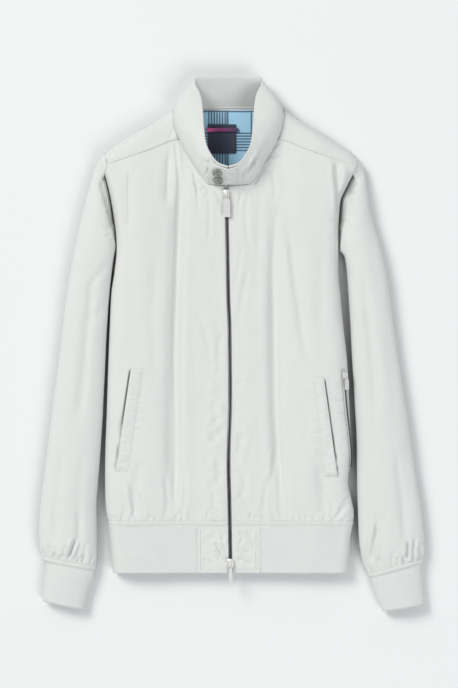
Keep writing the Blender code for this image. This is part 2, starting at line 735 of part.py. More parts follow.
def slider(name, size, material, collection):
    """Zip slider: a bevelled body with a bridge for its pull."""
    width, length, thick, bow, wire, _ = size
    bpy.ops.mesh.primitive_cube_add(size=1.0)
    body = bpy.context.object
    body.name = name
    body.data.transform(Matrix.Diagonal((width * MM, length * MM, thick * MM, 1.0)))
    bevel = body.modifiers.new("edges", "BEVEL")
    bevel.width = 0.18 * thick * MM
    bevel.segments = 2
    bpy.ops.mesh.primitive_torus_add(major_radius=bow * MM, minor_radius=wire * MM,
                                     major_segments=20, minor_segments=8,
                                     location=(0, 0, (thick / 2 + 0.4 * bow) * MM),
                                     rotation=(0, math.pi / 2, 0))
    bridge = bpy.context.object
    join = body.modifiers.new("bridge", "BOOLEAN")
    join.operation = "UNION"
    join.object = bridge
    mesh = bpy.data.meshes.new_from_object(body.evaluated_get(bpy.context.evaluated_depsgraph_get()))
    bpy.data.objects.remove(body, do_unlink=True)
    bpy.data.objects.remove(bridge, do_unlink=True)
    mesh.name = name
    return place(name, mesh, material, collection)


Pull = namedtuple("Pull", "half neck eye bar start hole length thick")


def pull(name, sizes, material, collection):
    """Zip pull: a flat tab with an eye; its origin is on the bar inside the slider's bridge."""
    outline = [(-sizes.eye, sizes.bar), (sizes.eye, sizes.bar), (sizes.eye, -sizes.neck),
               (sizes.half, -sizes.neck - sizes.half + sizes.eye), (sizes.half, -sizes.length),
               (-sizes.half, -sizes.length), (-sizes.half, -sizes.neck - sizes.half + sizes.eye),
               (-sizes.eye, -sizes.neck)]
    gap = sizes.eye - sizes.start
    hole = [(-gap, -sizes.bar), (gap, -sizes.bar), (gap, -sizes.hole), (-gap, -sizes.hole)]
    curve = bpy.data.curves.new(name, "CURVE")
    curve.dimensions = "2D"
    curve.fill_mode = "BOTH"
    curve.extrude = sizes.thick / 2 * MM
    for points in (outline, hole):
        spline = curve.splines.new("POLY")
        spline.points.add(len(points) - 1)
        spline.use_cyclic_u = True
        for point, (x, y) in zip(spline.points, points):
            point.co = (x * MM, y * MM, 0.0, 1.0)
    item = bpy.data.objects.new(name, curve)
    collection.objects.link(item)
    curve.materials.append(material)
    return item


TOP_SLIDER_Y = 224.0
LOW_SLIDER_Y = -328.0
Slide = namedtuple("Slide", "width length thick bow wire foot")
SLIDER = Slide(9.0, 13.0, 4.4, 3.6, 0.8, 0.5)
SIDE_SLIDER = Slide(6.4, 10.0, 3.4, 2.9, 0.65, 3.0)
PULL_RISE = 1.5        # height of the eye's bar over the slider
PULL_SET = 0.6         # bar's distance below the middle of the bridge
PULL_DROP = math.radians(4)
TOP_PULL = Pull(half=5.4, neck=6.8, eye=3.0, bar=0.7, start=1.3, hole=6.0, length=34.0, thick=1.5)
LOW_PULL = Pull(half=2.5, neck=6.8, eye=2.5, bar=0.7, start=1.0, hole=6.0, length=34.0, thick=1.5)
SIDE_PULL = Pull(half=3.6, neck=5.2, eye=2.3, bar=0.6, start=0.95, hole=4.8, length=21.0, thick=1.2)


def stand_on(item, point, up, along, lift):
    """Place a piece with its Z along up and its Y along the given direction."""
    up, along = Vector(up).normalized(), Vector(along).normalized()
    across = along.cross(up).normalized()
    along = up.cross(across)
    turn = Matrix((across, along, up)).transposed().to_4x4()
    item.matrix_world = Matrix.Translation((Vector(point) + up * lift) * MM) @ turn


def hang(slider_name, pull_name, size, sizes, foot, up, along, metals, collection):
    """Slider on a zip, with its pull lying down from the bridge."""
    middle = size.foot + size.thick / 2
    body = slider(slider_name, size, metals[0], collection)
    stand_on(body, foot, up, along, middle)
    tab = pull(pull_name, sizes, metals[1], collection)
    stand_on(tab, foot, up, along, middle + size.thick / 2 + PULL_RISE)
    settle = Matrix.Translation((0, -PULL_SET * MM, 0)) @ Matrix.Rotation(PULL_DROP, 4, "X")
    tab.matrix_world = tab.matrix_world @ settle


# ---------------------------------------------------------------- pockets

Welt = namedtuple("Welt", "name y_top y_low open_top open_low fold_top fold_low")
WELTS = [
    Welt("welt_left", -36, -190, -150.4, -173.3, -132.2, -155.9),
    Welt("welt_right", -49, -198, 137.3, 157.8, 121.9, 137.4),
]
WELT_THICK = 1.2


def front_point(x, y, lift):
    """Point over a front, moved out by lift."""
    return moved_out(lambda u, v: np.array([u, v, float(height(u, v))]), x, y, lift)


def welt_grid(welt):
    """Points of a pocket welt."""
    grid = []
    for share in np.linspace(0, 1, 10):
        y = welt.y_low + (welt.y_top - welt.y_low) * share
        a = welt.open_low + (welt.open_top - welt.open_low) * share
        b = welt.fold_low + (welt.fold_top - welt.fold_low) * share
        grid.append([tuple(front_point(x, y, LIFT + WELT_THICK)) for x in np.linspace(min(a, b), max(a, b), 4)])
    return grid


# ---------------------------------------------------------------- neck lining and label

LINING_Z = 2.9         # upper face of the lining
LINING_THICK = 1.0     # also the label's and the loop's
LOOP_ARCH = 1.5
Patch = namedtuple("Patch", "left right low high")
LINING = Patch(-62, 52, 240, 352)
LABEL = Patch(-35.6, 6.4, 287.2, 330.8)
LOOP = Patch(-37.9, 10.1, 319.5, 325.0)


def flat_grid(patch, level, across=2, along=2, arch=0.0):
    """Points of a flat rectangle, raised in its middle by arch."""
    grid = []
    for y in np.linspace(patch.low, patch.high, along):
        row = []
        for share in np.linspace(0, 1, across):
            row.append((patch.left + (patch.right - patch.left) * share, y,
                        level + arch * math.sin(math.pi * share) ** 0.5))
        grid.append(row)
    return grid


# ---------------------------------------------------------------- assembly


def main():
    """Build every piece of the jacket."""
    clear_scene()
    jacket = bpy.data.collections.new("bomber_jacket")
    bpy.context.scene.collection.children.link(jacket)
    shell = make_material("shell_cloth", (0.72, 0.73, 0.70), 0.75)
    rib = make_material("knitted_rib", (0.70, 0.71, 0.69), 0.85)
    lining = make_material("checked_lining", (0.20, 0.42, 0.62), 0.7)
    navy = make_material("label_weave", (0.02, 0.02, 0.05), 0.6)
    ribbon = make_material("loop_ribbon", (0.55, 0.10, 0.25), 0.6)
    dark_metal = make_material("dark_metal", (0.16, 0.16, 0.17), 0.35, 1.0)
    silver = make_material("silver_metal", (0.62, 0.62, 0.60), 0.28, 1.0)
    horn = make_material("button_stone", (0.42, 0.43, 0.41), 0.4)
    tape = make_material("zip_tape", (0.60, 0.61, 0.59), 0.8)

    wall("front_left", [front_grid(-1)], SHELL, shell, jacket)
    wall("front_right", [front_grid(1)], SHELL, shell, jacket)
    wall("back", back_grids(), SHELL, shell, jacket)
    sleeves = ((-1, "left", SLEEVE_LEFT, CUFF_LEFT), (1, "right", SLEEVE_RIGHT, CUFF_RIGHT))
    for side, name, sleeve, cuff in sleeves:
        wall("sleeve_" + name, [tube(side, sleeve, SLEEVE_STATIONS, SLEEVE_CREASES)], SHELL, shell, jacket, True)
        wall("cuff_" + name, [tube(side, cuff, CUFF_STATIONS)], RIB, rib, jacket, True)
    wall("hem_rib", [[hem_ring(hem_y(j)) for j in range(HEM_ROWS)]], RIB, rib, jacket)
    wall("hem_end_left", [hem_end_grid(-1)], SHELL, shell, jacket)
    wall("hem_end_right", [hem_end_grid(1)], SHELL, shell, jacket)
    wall("collar", [collar_grid()], COLLAR_WALL, shell, jacket)
    wall("collar_tab", [tab_grid()], TAB_THICK, shell, jacket)
    for button in BUTTONS:
        make_button(button, horn, jacket)
    for welt in WELTS:
        wall(welt.name, [welt_grid(welt)], WELT_THICK, shell, jacket)

    tape_lift = -SHELL - BETWEEN
    for name, inner, outer in (("left", -TAPE_WIDTH, -SEAM / 2), ("right", SEAM / 2, TAPE_WIDTH)):
        wall("zip_tape_" + name, [zip_strip(inner, outer, TAPE_END_Y, TAPE_TOP_Y, tape_lift)],
             TAPE_THICK, tape, jacket)
    chain_lift = tape_lift + SEAM + CHAIN_THICK
    wall("zip_chain", [zip_strip(-CHAIN_HALF, CHAIN_HALF, CHAIN_END_Y, CHAIN_TOP_Y, chain_lift)],
         CHAIN_THICK, dark_metal, jacket)
    for name, y, sizes in (("top", TOP_SLIDER_Y, TOP_PULL), ("bottom", LOW_SLIDER_Y, LOW_PULL)):
        foot = (zip_x(y), y, float(height(zip_x(y), y)))
        hang("zip_slider_" + name, "zip_pull_" + name, SLIDER, sizes, foot, (0, 0, 1), (0, 1, 0),
             (silver, silver), jacket)

    side_lift = SIDE_LIFT + SIDE_TAPE_THICK
    wall("side_zip_tape", [side_strip(SIDE_TAPE_HALF, SIDE_ZIP_END, SIDE_ZIP_TOP, side_lift)],
         SIDE_TAPE_THICK, tape, jacket)
    wall("side_zip_chain", [side_strip(SIDE_CHAIN_HALF, SIDE_ZIP_END + 1, SIDE_SLIDER_Y - 6.5,
                                       side_lift + SEAM + SIDE_CHAIN_THICK)],
         SIDE_CHAIN_THICK, dark_metal, jacket)
    foot = side_zip_point(0.0, SIDE_SLIDER_Y, 0.0)
    up = side_zip_point(0.0, SIDE_SLIDER_Y, 1.0) - foot
    along = side_zip_point(0.0, SIDE_SLIDER_Y + 1, 0.0) - foot
    hang("side_zip_slider", "side_zip_pull", SIDE_SLIDER, SIDE_PULL, foot, up, along,
         (silver, silver), jacket)

    wall("neck_lining", [flat_grid(LINING, LINING_Z, 4, 4)], LINING_THICK, lining, jacket)
    label_z = LINING_Z + SEAM + LINING_THICK
    wall("label", [flat_grid(LABEL, label_z)], LINING_THICK, navy, jacket)
    wall("hanger_loop", [flat_grid(LOOP, label_z + SEAM + LINING_THICK, 7, 2, LOOP_ARCH)], LINING_THICK, ribbon, jacket)


main()
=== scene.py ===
"""Looks of a light bomber jacket laid out on its back, front up, with its zip closed.

Sizes are in millimetres and become metres when a mesh is made. +X is to the right of the
front, +Y towards the collar and +Z up out of the front; the back lies on Z = 0.
"""
import logging
import math
import random
from dataclasses import dataclass, field, fields
from enum import Enum
from typing import Callable, ClassVar, Optional, Sequence

import bmesh
import bpy
import numpy as np
from mathutils import Matrix, Vector
from mathutils.bvhtree import BVHTree


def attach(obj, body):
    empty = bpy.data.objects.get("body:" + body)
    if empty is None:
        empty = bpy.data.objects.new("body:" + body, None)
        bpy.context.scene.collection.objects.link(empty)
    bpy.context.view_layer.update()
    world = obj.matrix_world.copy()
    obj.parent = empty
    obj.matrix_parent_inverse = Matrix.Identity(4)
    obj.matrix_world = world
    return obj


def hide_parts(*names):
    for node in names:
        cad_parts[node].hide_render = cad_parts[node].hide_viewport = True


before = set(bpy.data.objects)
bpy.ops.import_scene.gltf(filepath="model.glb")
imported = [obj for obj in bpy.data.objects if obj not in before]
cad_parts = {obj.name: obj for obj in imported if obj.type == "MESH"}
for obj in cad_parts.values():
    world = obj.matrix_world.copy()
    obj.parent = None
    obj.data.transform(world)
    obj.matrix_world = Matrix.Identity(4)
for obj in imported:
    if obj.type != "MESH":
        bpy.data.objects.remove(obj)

LOG = logging.getLogger("jacket")
MM: float = 0.001
Array = np.ndarray
PlanPoint = tuple[float, float]
Colour = tuple[float, float, float]
Face = tuple[int, ...]
Socket = bpy.types.NodeSocket
Piece = bpy.types.Object


class Side(Enum):
    """Half of the jacket as the picture shows it."""

    LEFT = -1
    RIGHT = 1


class Body(Enum):
    """Body of the frame that a piece moves with."""

    JACKET = "jacket"
    PULL_TOP = "pull_top"
    PULL_BOTTOM = "pull_bottom"
    PULL_SIDE = "pull_side"


class Hold(Enum):
    """How a sheet of cloth is held."""

    LAID = "laid"
    GATHERED = "gathered"


# ---------------------------------------------------------------- rules for the form


def ease(t: Array | float) -> Array:
    """Rise smoothly from 0 to 1."""
    t = np.clip(t, 0.0, 1.0)
    return t * t * (3 - 2 * t)


def between(t: Array | float, low: PlanPoint, high: PlanPoint) -> Array:
    """Smooth window; each end holds its level and the width over which it rises inwards."""
    return ease((t - low[0]) / low[1]) * ease((high[0] - t) / high[1])


def rising(t: Array | float, share: float) -> Array:
    """Smooth step that starts at a share instead of zero."""
    return share + (1 - share) * ease(t)


class Curve:
    """Monotone cubic through the rows of a table."""

    def __init__(self, at: Sequence[float], value: Sequence[float]) -> None:
        """Work out the slopes.

        Args:
            at: places of the rows, rising.
            value: value at each place.
        """
        self.at, self.value = np.array(at, float), np.array(value, float)
        self.step = np.diff(self.at)
        slope = np.diff(self.value) / self.step
        self.slope = np.zeros(len(self.at))
        same = slope[:-1] * slope[1:] > 0
        self.slope[1:-1][same] = 2.0 / (1.0 / slope[:-1][same] + 1.0 / slope[1:][same])
        self.slope[0], self.slope[-1] = slope[0], slope[-1]

    def __call__(self, place: Array | float) -> Array:
        """Value at a place, held level beyond the ends.

        Args:
            place: place or places along the curve.

        Returns:
            Value or values.
        """
        place = np.clip(place, self.at[0], self.at[-1])
        i = np.clip(np.searchsorted(self.at, place) - 1, 0, len(self.at) - 2)
        step = self.step[i]
        t = (place - self.at[i]) / step
        values = self.value[i] * (1 + 2 * t) * (1 - t) ** 2 + self.value[i + 1] * t * t * (3 - 2 * t)
        slopes = self.slope[i] * t * (1 - t) ** 2 + self.slope[i + 1] * t * t * (t - 1)
        return values + step * slopes


def column_curves(rows: Sequence[object], at: Optional[Sequence[float]] = None) -> dict[str, Curve]:
    """Curve through each column of a table.

    Args:
        rows: rows of the table, which are dataclasses.
        at: place of each row; its number if left out.

    Returns:
        The curves by the columns' names.
    """
    places = range(len(rows)) if at is None else at
    return {column.name: Curve(places, [getattr(row, column.name) for row in rows])
            for column in fields(rows[0])}


def run(points: Array, axis: int = 0) -> Array:
    """Distance run along one axis of a line or grid of points, from 0."""
    steps = np.linalg.norm(np.diff(points, axis=axis), axis=-1)
    return np.insert(np.cumsum(steps, axis=axis), 0, 0.0, axis=axis)


def grid(x: Array, y: Array, z: Array | float) -> Array:
    """Grid of points from coordinates that spread over each other."""
    return np.stack(np.broadcast_arrays(x, y, z), axis=-1)


def bell(distance: Array, width: float) -> Array:
    """Bell curve: 1 at no distance, near 0 beyond two widths."""
    return np.exp(-(distance / width) ** 2)


@dataclass(frozen=True)
class BodyRow:
    """Section of the body: its two sides, the crown's height and the rounding of the sides."""

    y: float
    left: float
    right: float
    crown: float
    roll: float
    edge: float


@dataclass(frozen=True)
class LongFold:
    """Long soft fold that runs down a front."""

    x_top: float
    y_top: float
    x_low: float
    y_low: float
    bow: float
    depth: float
    spread: float


@dataclass(frozen=True)
class JacketForm:
    """Outer form of the body, which the cloth pieces share."""

    centre_x: float = -5.0
    waist_y: float = -271.0
    hem_y: float = -343.0
    seam: float = 0.3
    ridge_z: float = 11.0
    ridge_roll: float = 18.0
    ridge_slope: float = 0.82
    under_roll: float = 16.0
    tuck_rise: float = 4.0
    tuck_x: float = 130.0
    tuck_spread: float = 40.0
    over: float = 2.2
    under: float = 2.6
    fold_fade: float = 0.24
    settle_steps: int = 14
    settle_from: float = 260.0
    neck_out: float = 74.0
    neck_side: float = 84.0
    body: tuple[BodyRow, ...] = (
        BodyRow(-343, -178.3, 174.8, 23.0, 15, 10), BodyRow(-320, -180.6, 176.8, 23.6, 15, 10),
        BodyRow(-290, -183.0, 178.8, 24.2, 15, 10), BodyRow(-271, -184.7, 182.0, 24.8, 15, 11),
        BodyRow(-255, -188.0, 183.5, 26.0, 20, 12), BodyRow(-232, -190.0, 179.5, 27.4, 23, 13),
        BodyRow(-207, -190.4, 174.8, 28.0, 24, 13), BodyRow(-159, -189.8, 179.6, 28.0, 24, 13),
        BodyRow(-108, -187.9, 177.4, 28.0, 24, 13), BodyRow(-30, -185.5, 173.8, 28.0, 24, 13),
        BodyRow(22, -183.4, 168.2, 28.0, 24, 13), BodyRow(75, -180.9, 163.1, 28.0, 24, 13),
        BodyRow(110, -176.0, 160.2, 28.0, 22, 13), BodyRow(145, -172.9, 160.1, 28.5, 18, 14),
        BodyRow(185, -176.9, 161.4, 29.5, 15, 17), BodyRow(216, -181.5, 164.3, 30.0, 14, 18),
        BodyRow(241, -187.0, 175.5, 30.0, 14, 19), BodyRow(266, -194.5, 188.0, 29.0, 14, 21),
        BodyRow(284, -198.0, 193.5, 27.0, 14, 20))
    ridge: tuple[PlanPoint, ...] = ((0, 420), (60, 371), (86, 350), (119, 328.5), (149, 311.4),
                                    (168, 299),
                                    (184, 287.6), (197, 273), (205, 262))
    top_line: tuple[PlanPoint, ...] = ((0, 236), (28, 237), (39, 245), (56, 274), (74, 305), (118, 290),
                                       (154, 277.5), (178, 269.5), (200, 263))
    zip_line: tuple[PlanPoint, ...] = ((-343, -1.6), (-237, -3.4), (-174, -4.7), (-84, -2.3), (22, -3.2),
                                       (75, -5.2), (135, -6.2), (190, -7.3), (245, -8.0))
    long_folds: tuple[LongFold, ...] = (
        LongFold(-74, 292, -87.7, -285, -5, 8.0, 10), LongFold(70, 228, 77.0, -285, -8, 7.0, 10),
        LongFold(80, 212, 113.0, -40, 3, 4.0, 9), LongFold(-93, 296, -97.0, 200, 0, 3.5, 7),
        LongFold(-153, 262, -153.5, 165, 0, 2.5, 7), LongFold(-136, -170, -142.0, -262, -3, 3.0, 8),
        LongFold(128, -175, 138.0, -262, 3, 3.0, 8))

    def __post_init__(self) -> None:
        """Prepare the curves of the tables."""
        curves = column_curves(self.body, [row.y for row in self.body])
        for name, line in (("ridge", self.ridge), ("top", self.top_line), ("zip", self.zip_line)):
            curves[name] = Curve(*zip(*line))
        object.__setattr__(self, "curves", curves)

    def read(self, name: str, at: Array | float) -> Array:
        """Value of one of the tables' columns."""
        return self.curves[name](at)

    def side_edge(self, side: Side, y: Array | float) -> Array:
        """X of the body's side, or of its armhole above the underarm."""
        return self.read("left" if side is Side.LEFT else "right", y)

    def rounding(self, distance: Array, radius: Array | float) -> Array:
        """Height, from 0 to 1, of a rounded side at a distance in from its edge."""
        level = 1.0 - np.clip(distance / radius, 0.0, 1.0)
        return (1.0 - level ** self.over) ** (1.0 / self.over)

    def fold_depth(self, x: Array, y: Array) -> Array:
        """How far the long folds lower the front.

        Args:
            x: X of the points, in millimetres.
            y: Y of the points.

        Returns:
            Depths in millimetres.
        """
        depth = 0.0
        for fold in self.long_folds:
            t = (fold.y_top - y) / (fold.y_top - fold.y_low)
            bow = fold.bow * np.sin(math.pi * np.clip(t, 0, 1))
            line = fold.x_top + (fold.x_low - fold.x_top) * t + bow
            fade = between(t, (0, self.fold_fade), (1, self.fold_fade))
            depth = depth + fold.depth * fade * bell(x - line, fold.spread)
        return depth

    def inside(self, x: Array, y: Array) -> Array:
        """Distance in from the nearer side."""
        return np.minimum(x - self.side_edge(Side.LEFT, y), self.side_edge(Side.RIGHT, y) - x)

    def height(self, x: Array | float, y: Array | float) -> Array:
        """Height of the front's outer face over a point of the plan.

        Args:
            x: X of the points, in millimetres.
            y: Y of the points.

        Returns:
            Z of the points.
        """
        edge = self.read("edge", y)
        tuck = self.tuck_rise * bell(np.abs(x - self.centre_x) - self.tuck_x, self.tuck_spread)
        crown = self.read("crown", y) + tuck - self.fold_depth(x, y)
        level = edge + (crown - edge) * self.rounding(self.inside(x, y), self.read("roll", y))
        below = (self.read("ridge", np.abs(x - self.centre_x)) - y) * self.ridge_slope
        return self.ridge_z + (level - self.ridge_z) * self.rounding(below, self.ridge_roll)

    def zip_x(self, y: Array | float) -> Array:
        """X of the middle of the zip."""
        return self.read("zip", y)

    def front_top(self, x: Array | float) -> Array:
        """Y of the neck seam or the shoulder seam over a point."""
        return self.read("top", np.abs(x - self.centre_x))

    def roll_point(self, side: Side, angle: Array | float, y: Array | float) -> Array:
        """Point on the rounded side.

        Args:
            side: half of the jacket.
            angle: 0 where the rounding starts, 90 at the side, 180 at the underside.
            y: level along the jacket.

        Returns:
            Points, with X, Y and Z in the last axis.
        """
        angle, y = np.broadcast_arrays(np.asarray(angle, float), np.asarray(y, float))
        turn = np.radians(angle)
        edge_x, edge_z, reach = self.side_edge(side, y), self.read("edge", y), self.read("roll", y)
        sine, cosine = np.abs(np.sin(turn)), np.abs(np.cos(turn))
        upper_x = edge_x - side.value * reach * (1 - sine ** (2 / self.over))
        lower_x = edge_x - side.value * self.under_roll * (1 - sine ** (2 / self.under))
        x = np.where(angle <= 90, upper_x, lower_x)
        z = np.where(angle <= 90, self.height(upper_x, y), edge_z * (1 - cosine ** (2 / self.under)))
        return grid(x, y, z)

    def settle(self, x_at: Callable[[Array], Array], limit: Callable[[Array], Array],
               count: int) -> Array:
        """Find where columns that lean with height meet a top edge.

        Args:
            x_at: X of the columns at given levels.
            limit: Y of the edge over given X.
            count: number of columns.

        Returns:
            Y of the edge at each column.
        """
        y = np.full(count, self.settle_from)
        for _ in range(self.settle_steps):
            y = limit(x_at(y))
        return y


FORM = JacketForm()

# ---------------------------------------------------------------- relief of the cloth


def rounded_path(path: Sequence[PlanPoint], steps: int = 8) -> Array:
    """Smooth line through the points of a path.

    Args:
        path: points of the path.
        steps: number of points of the line.

    Returns:
        Points of the line.
    """
    points = np.array(path, float)
    if len(points) < 3:
        return points
    padded = np.vstack([2 * points[0] - points[1], points, 2 * points[-1] - points[-2]])
    line = []
    for a, b, c, d in zip(padded, padded[1:], padded[2:], padded[3:]):
        for t in np.arange(steps) / steps:
            line.append(0.5 * (2 * b + (c - a) * t + (2 * a - 5 * b + 4 * c - d) * t * t
                               + (3 * b - a - 3 * c + d) * t ** 3))
    return np.array(line + [points[-1]])


@dataclass(frozen=True)
class Crease:
    """Soft trough drawn over the cloth in plan; a negative depth is a ridge."""

    path: tuple[PlanPoint, ...]
    depth: float
    width: float
    fade: float = 0.25
    lip: float = 0.35
    lean: float = 0.0
    near_widths: ClassVar[float] = 4.0
    lip_widths: ClassVar[float] = 2.1

    def relief(self, x: Array, y: Array) -> Array:
        """Rise of the cloth at points of the plan.

        Args:
            x: X of the points.
            y: Y of the points.

        Returns:
            Rise in millimetres, below zero in the trough.
        """
        line = rounded_path(self.path)
        rise = np.zeros(np.shape(x))
        reach = self.near_widths * self.width
        near = ((x > line[:, 0].min() - reach) & (x < line[:, 0].max() + reach)
                & (y > line[:, 1].min() - reach) & (y < line[:, 1].max() + reach))
        if not near.any():
            return rise
        px, py = x[near], y[near]
        best = np.full(px.shape, 1e9)
        signed, place = np.zeros(px.shape), np.zeros(px.shape)
        lengths = run(line)
        for a, b, start in zip(line, line[1:], lengths):
            along = b - a
            size = float(np.hypot(*along)) or 1e-6
            t = np.clip(((px - a[0]) * along[0] + (py - a[1]) * along[1]) / size ** 2, 0, 1)
            dx, dy = px - a[0] - t * along[0], py - a[1] - t * along[1]
            distance = np.hypot(dx, dy)
            closer = distance < best
            best = np.where(closer, distance, best)
            signed = np.where(closer, np.sign(along[0] * dy - along[1] * dx), signed)
            place = np.where(closer, start + t * size, place)
        share = place / lengths[-1]
        width = self.width * (1 + self.lean * signed)
        profile = bell(best, width) - self.lip * bell(best - self.lip_widths * width, width)
        fade = between(share, (0, self.fade), (1, self.fade))
        rise[near] = -self.depth * profile * fade
        return rise


@dataclass(frozen=True)
class Gathers:
    """Uneven short creases that run off a seam."""

    seam: tuple[PlanPoint, ...]
    spacing: float
    length: float
    depth: float
    width: float
    seed: int
    slant: float = 0.0

    def creases(self) -> list[Crease]:
        """Creases, each with its own length, depth and direction.

        Returns:
            The creases.
        """
        rng = random.Random(self.seed)
        line = rounded_path(self.seam)
        lengths = run(line)
        steps = np.diff(lengths)
        made: list[Crease] = []
        place = self.spacing * rng.uniform(0.2, 0.9)
        while place < lengths[-1]:
            i = min(int(np.searchsorted(lengths, place)) - 1, len(steps) - 1)
            t = (place - lengths[i]) / steps[i]
            root = line[i] + (line[i + 1] - line[i]) * t
            along = (line[i + 1] - line[i]) / steps[i]
            off = np.array([-along[1], along[0]]) + along * (self.slant + rng.uniform(-0.35, 0.35))
            size = self.length * rng.uniform(0.45, 1.25)
            bend = along * size * rng.uniform(-0.12, 0.12)
            path = (tuple(root), tuple(root + off * size * 0.5 + bend), tuple(root + off * size))
            depth, width = self.depth * rng.uniform(0.4, 1.2), self.width * rng.uniform(0.7, 1.3)
            made.append(Crease(path, depth, width, 0.3))
            place += self.spacing * rng.uniform(0.55, 1.5)
        return made


@dataclass(frozen=True)
class Undulation:
    """Broad uneven softness of cloth that lies loosely."""

    seed: int
    amplitude: float
    shortest: float
    longest: float
    stretch: float = 1.8
    waves: int = 14
    middle: PlanPoint | None = None
    reach: PlanPoint = (1.0, 1.0)

    def relief(self, x: Array, y: Array) -> Array:
        """Rise of the cloth at points of the plan.

        Args:
            x: X of the points, in millimetres.
            y: Y of the points.

        Returns:
            Rises in millimetres.
        """
        rng = random.Random(self.seed)
        rise = np.zeros(np.shape(x))
        for _ in range(self.waves):
            length = rng.uniform(self.shortest, self.longest)
            turn = rng.uniform(0, math.pi)
            phase = rng.uniform(0, 2 * math.pi)
            across = (x * math.cos(turn) + y * math.sin(turn) / self.stretch) * 2 * math.pi / length
            bend = 0.6 * np.sin(y * 2 * math.pi / (2.3 * length) + phase * 1.7)
            rise = rise + np.sin(across + bend + phase) * rng.uniform(0.4, 1.0)
        if self.middle:
            near = bell(x - self.middle[0], self.reach[0])
            rise = rise * near * bell(y - self.middle[1], self.reach[1])
        return rise * self.amplitude / math.sqrt(self.waves)


@dataclass(frozen=True)
class Relief:
    """Everything that shapes the surface of one cloth piece."""

    creases: tuple[Crease, ...] = ()
    gathers: tuple[Gathers, ...] = ()
    softness: tuple[Undulation, ...] = ()

    def rise(self, x: Array, y: Array) -> Array:
        """Total rise at points of the plan.

        Args:
            x: X of the points, in millimetres.
            y: Y of the points.

        Returns:
            Rises in millimetres.
        """
        gathered = [crease for row in self.gathers for crease in row.creases()]
        total = np.zeros(np.shape(x))
        for shape in (*self.creases, *gathered, *self.softness):
            total = total + shape.relief(x, y)
        return total

    def over(self, points: Array) -> Array:
        """Total rise over a grid of points."""
        return self.rise(points[..., 0], points[..., 1])


# ---------------------------------------------------------------- meshes


def linked(name: str, data: bpy.types.ID) -> Piece:
    """New object that holds the data, in the scene.

    Args:
        name: name of the new object.
        data: mesh, curve, lamp or camera data.

    Returns:
        The object.
    """
    item = bpy.data.objects.new(name, data)
    bpy.context.scene.collection.objects.link(item)
    return item


def grid_normals(points: Array, closed: bool) -> Array:
    """Unit normals of a grid of points.

    Args:
        points: rows and columns of points.
        closed: whether the columns go all round.

    Returns:
        Normal at each point of the grid.
    """
    if closed:
        along = np.roll(points, -1, axis=1) - np.roll(points, 1, axis=1)
    else:
        along = np.gradient(points, axis=1)
    normal = np.cross(along, np.gradient(points, axis=0))
    return normal / np.maximum(np.linalg.norm(normal, axis=-1, keepdims=True), 1e-9)


@dataclass
class ClothSheet:
    """Cloth of even thickness over one or more grids of points of its outer face."""

    name: str
    thickness: float
    closed: bool = False
    grids: list[Array] = field(default_factory=list)

    def add(self, points: Array, rise: Optional[Array] = None) -> "ClothSheet":
        """Take a grid of points, moved out by the relief's rise.

        Args:
            points: rows and columns of points, with the outer side towards the grid's normals.
            rise: distance to move each point out along its normal.

        Returns:
            The sheet itself.
        """
        if rise is not None:
            points = points + grid_normals(points, self.closed) * rise[..., None]
        self.grids.append(points)
        return self

    def build(self) -> Piece:
        """Make the closed mesh with UVs in metres.

        Returns:
            The piece.
        """
        vertices: list[Array] = []
        faces: list[Array] = []
        uvs: list[Array] = []
        start = 0
        for points in self.grids:
            rows, columns = points.shape[:2]
            inner = points - grid_normals(points, self.closed) * self.thickness
            vertices += [points.reshape(-1, 3), inner.reshape(-1, 3)]
            ring = np.concatenate([points, points[:, :1]], axis=1) if self.closed else points
            u, v = run(ring, axis=1), run(ring)
            u = u - u[:, -1:] / 2
            span = columns if self.closed else columns - 1
            j, i = np.meshgrid(np.arange(rows - 1), np.arange(span), indexing="ij")
            j, i = j.ravel(), i.ravel()
            n = (i + 1) % columns
            corners = [(j, i, i), (j, n, i + 1), (j + 1, n, i + 1), (j + 1, i, i)]
            outer = np.stack([start + a * columns + b for a, b, _ in corners], axis=1)
            outer_uv = np.stack([np.stack([u[a, c], v[a, c]], axis=1) for a, _, c in corners], axis=1)
            count = rows * columns
            faces += [outer, outer[:, ::-1] + count]
            uvs += [outer_uv, outer_uv[:, ::-1]]
            for rim, rim_uv in self.rims(rows, columns, start, u, v):
                faces.append(rim)
                uvs.append(rim_uv)
            start += 2 * count
        mesh = bpy.data.meshes.new(self.name)
        mesh.from_pydata((np.concatenate(vertices) * MM).tolist(), [], np.concatenate(faces).tolist())
        layer = mesh.uv_layers.new(name="UVMap")
        layer.data.foreach_set("uv", (np.concatenate(uvs) * MM).ravel())
        mesh.update()
        mesh.shade_smooth()
        return linked(self.name, mesh)

    def rims(self, rows: int, columns: int, start: int, u: Array, v: Array) -> list[tuple[Array, Array]]:
        """Faces that close the edges of one of the sheet's grids.

        Args:
            rows: number of rows of the grid.
            columns: number of columns.
            start: number of the grid's first point in the mesh.
            u: way across the cloth at each point.
            v: way along it.

        Returns:
            Faces and their UVs, edge by edge.
        """
        count = rows * columns
        made = []

        def strip(low: Array, j: Array | int, i: Array | int) -> None:
            """Close one edge, given its outer points in order and their rows and columns.

            Args:
                low: outer points of the edge, in order.
                j: their rows.
                i: their columns.
            """
            uv = grid(u[j, i], v[j, i], 0.0)[:, :2]
            quads = np.stack([low[1:], low[:-1], low[:-1] + count, low[1:] + count], axis=1)
            made.append((quads, np.stack([uv[1:], uv[:-1], uv[:-1], uv[1:]], axis=1)))

        across = np.arange(columns + 1) % columns if self.closed else np.arange(columns)
        place = np.arange(len(across))
        strip(start + across, 0, place)
        strip(start + ((rows - 1) * columns + across)[::-1], -1, place[::-1])
        if not self.closed:
            up = np.arange(rows)
            strip(start + (up * columns)[::-1], up[::-1], 0)
            strip(start + up * columns + columns - 1, up, -1)
        return made


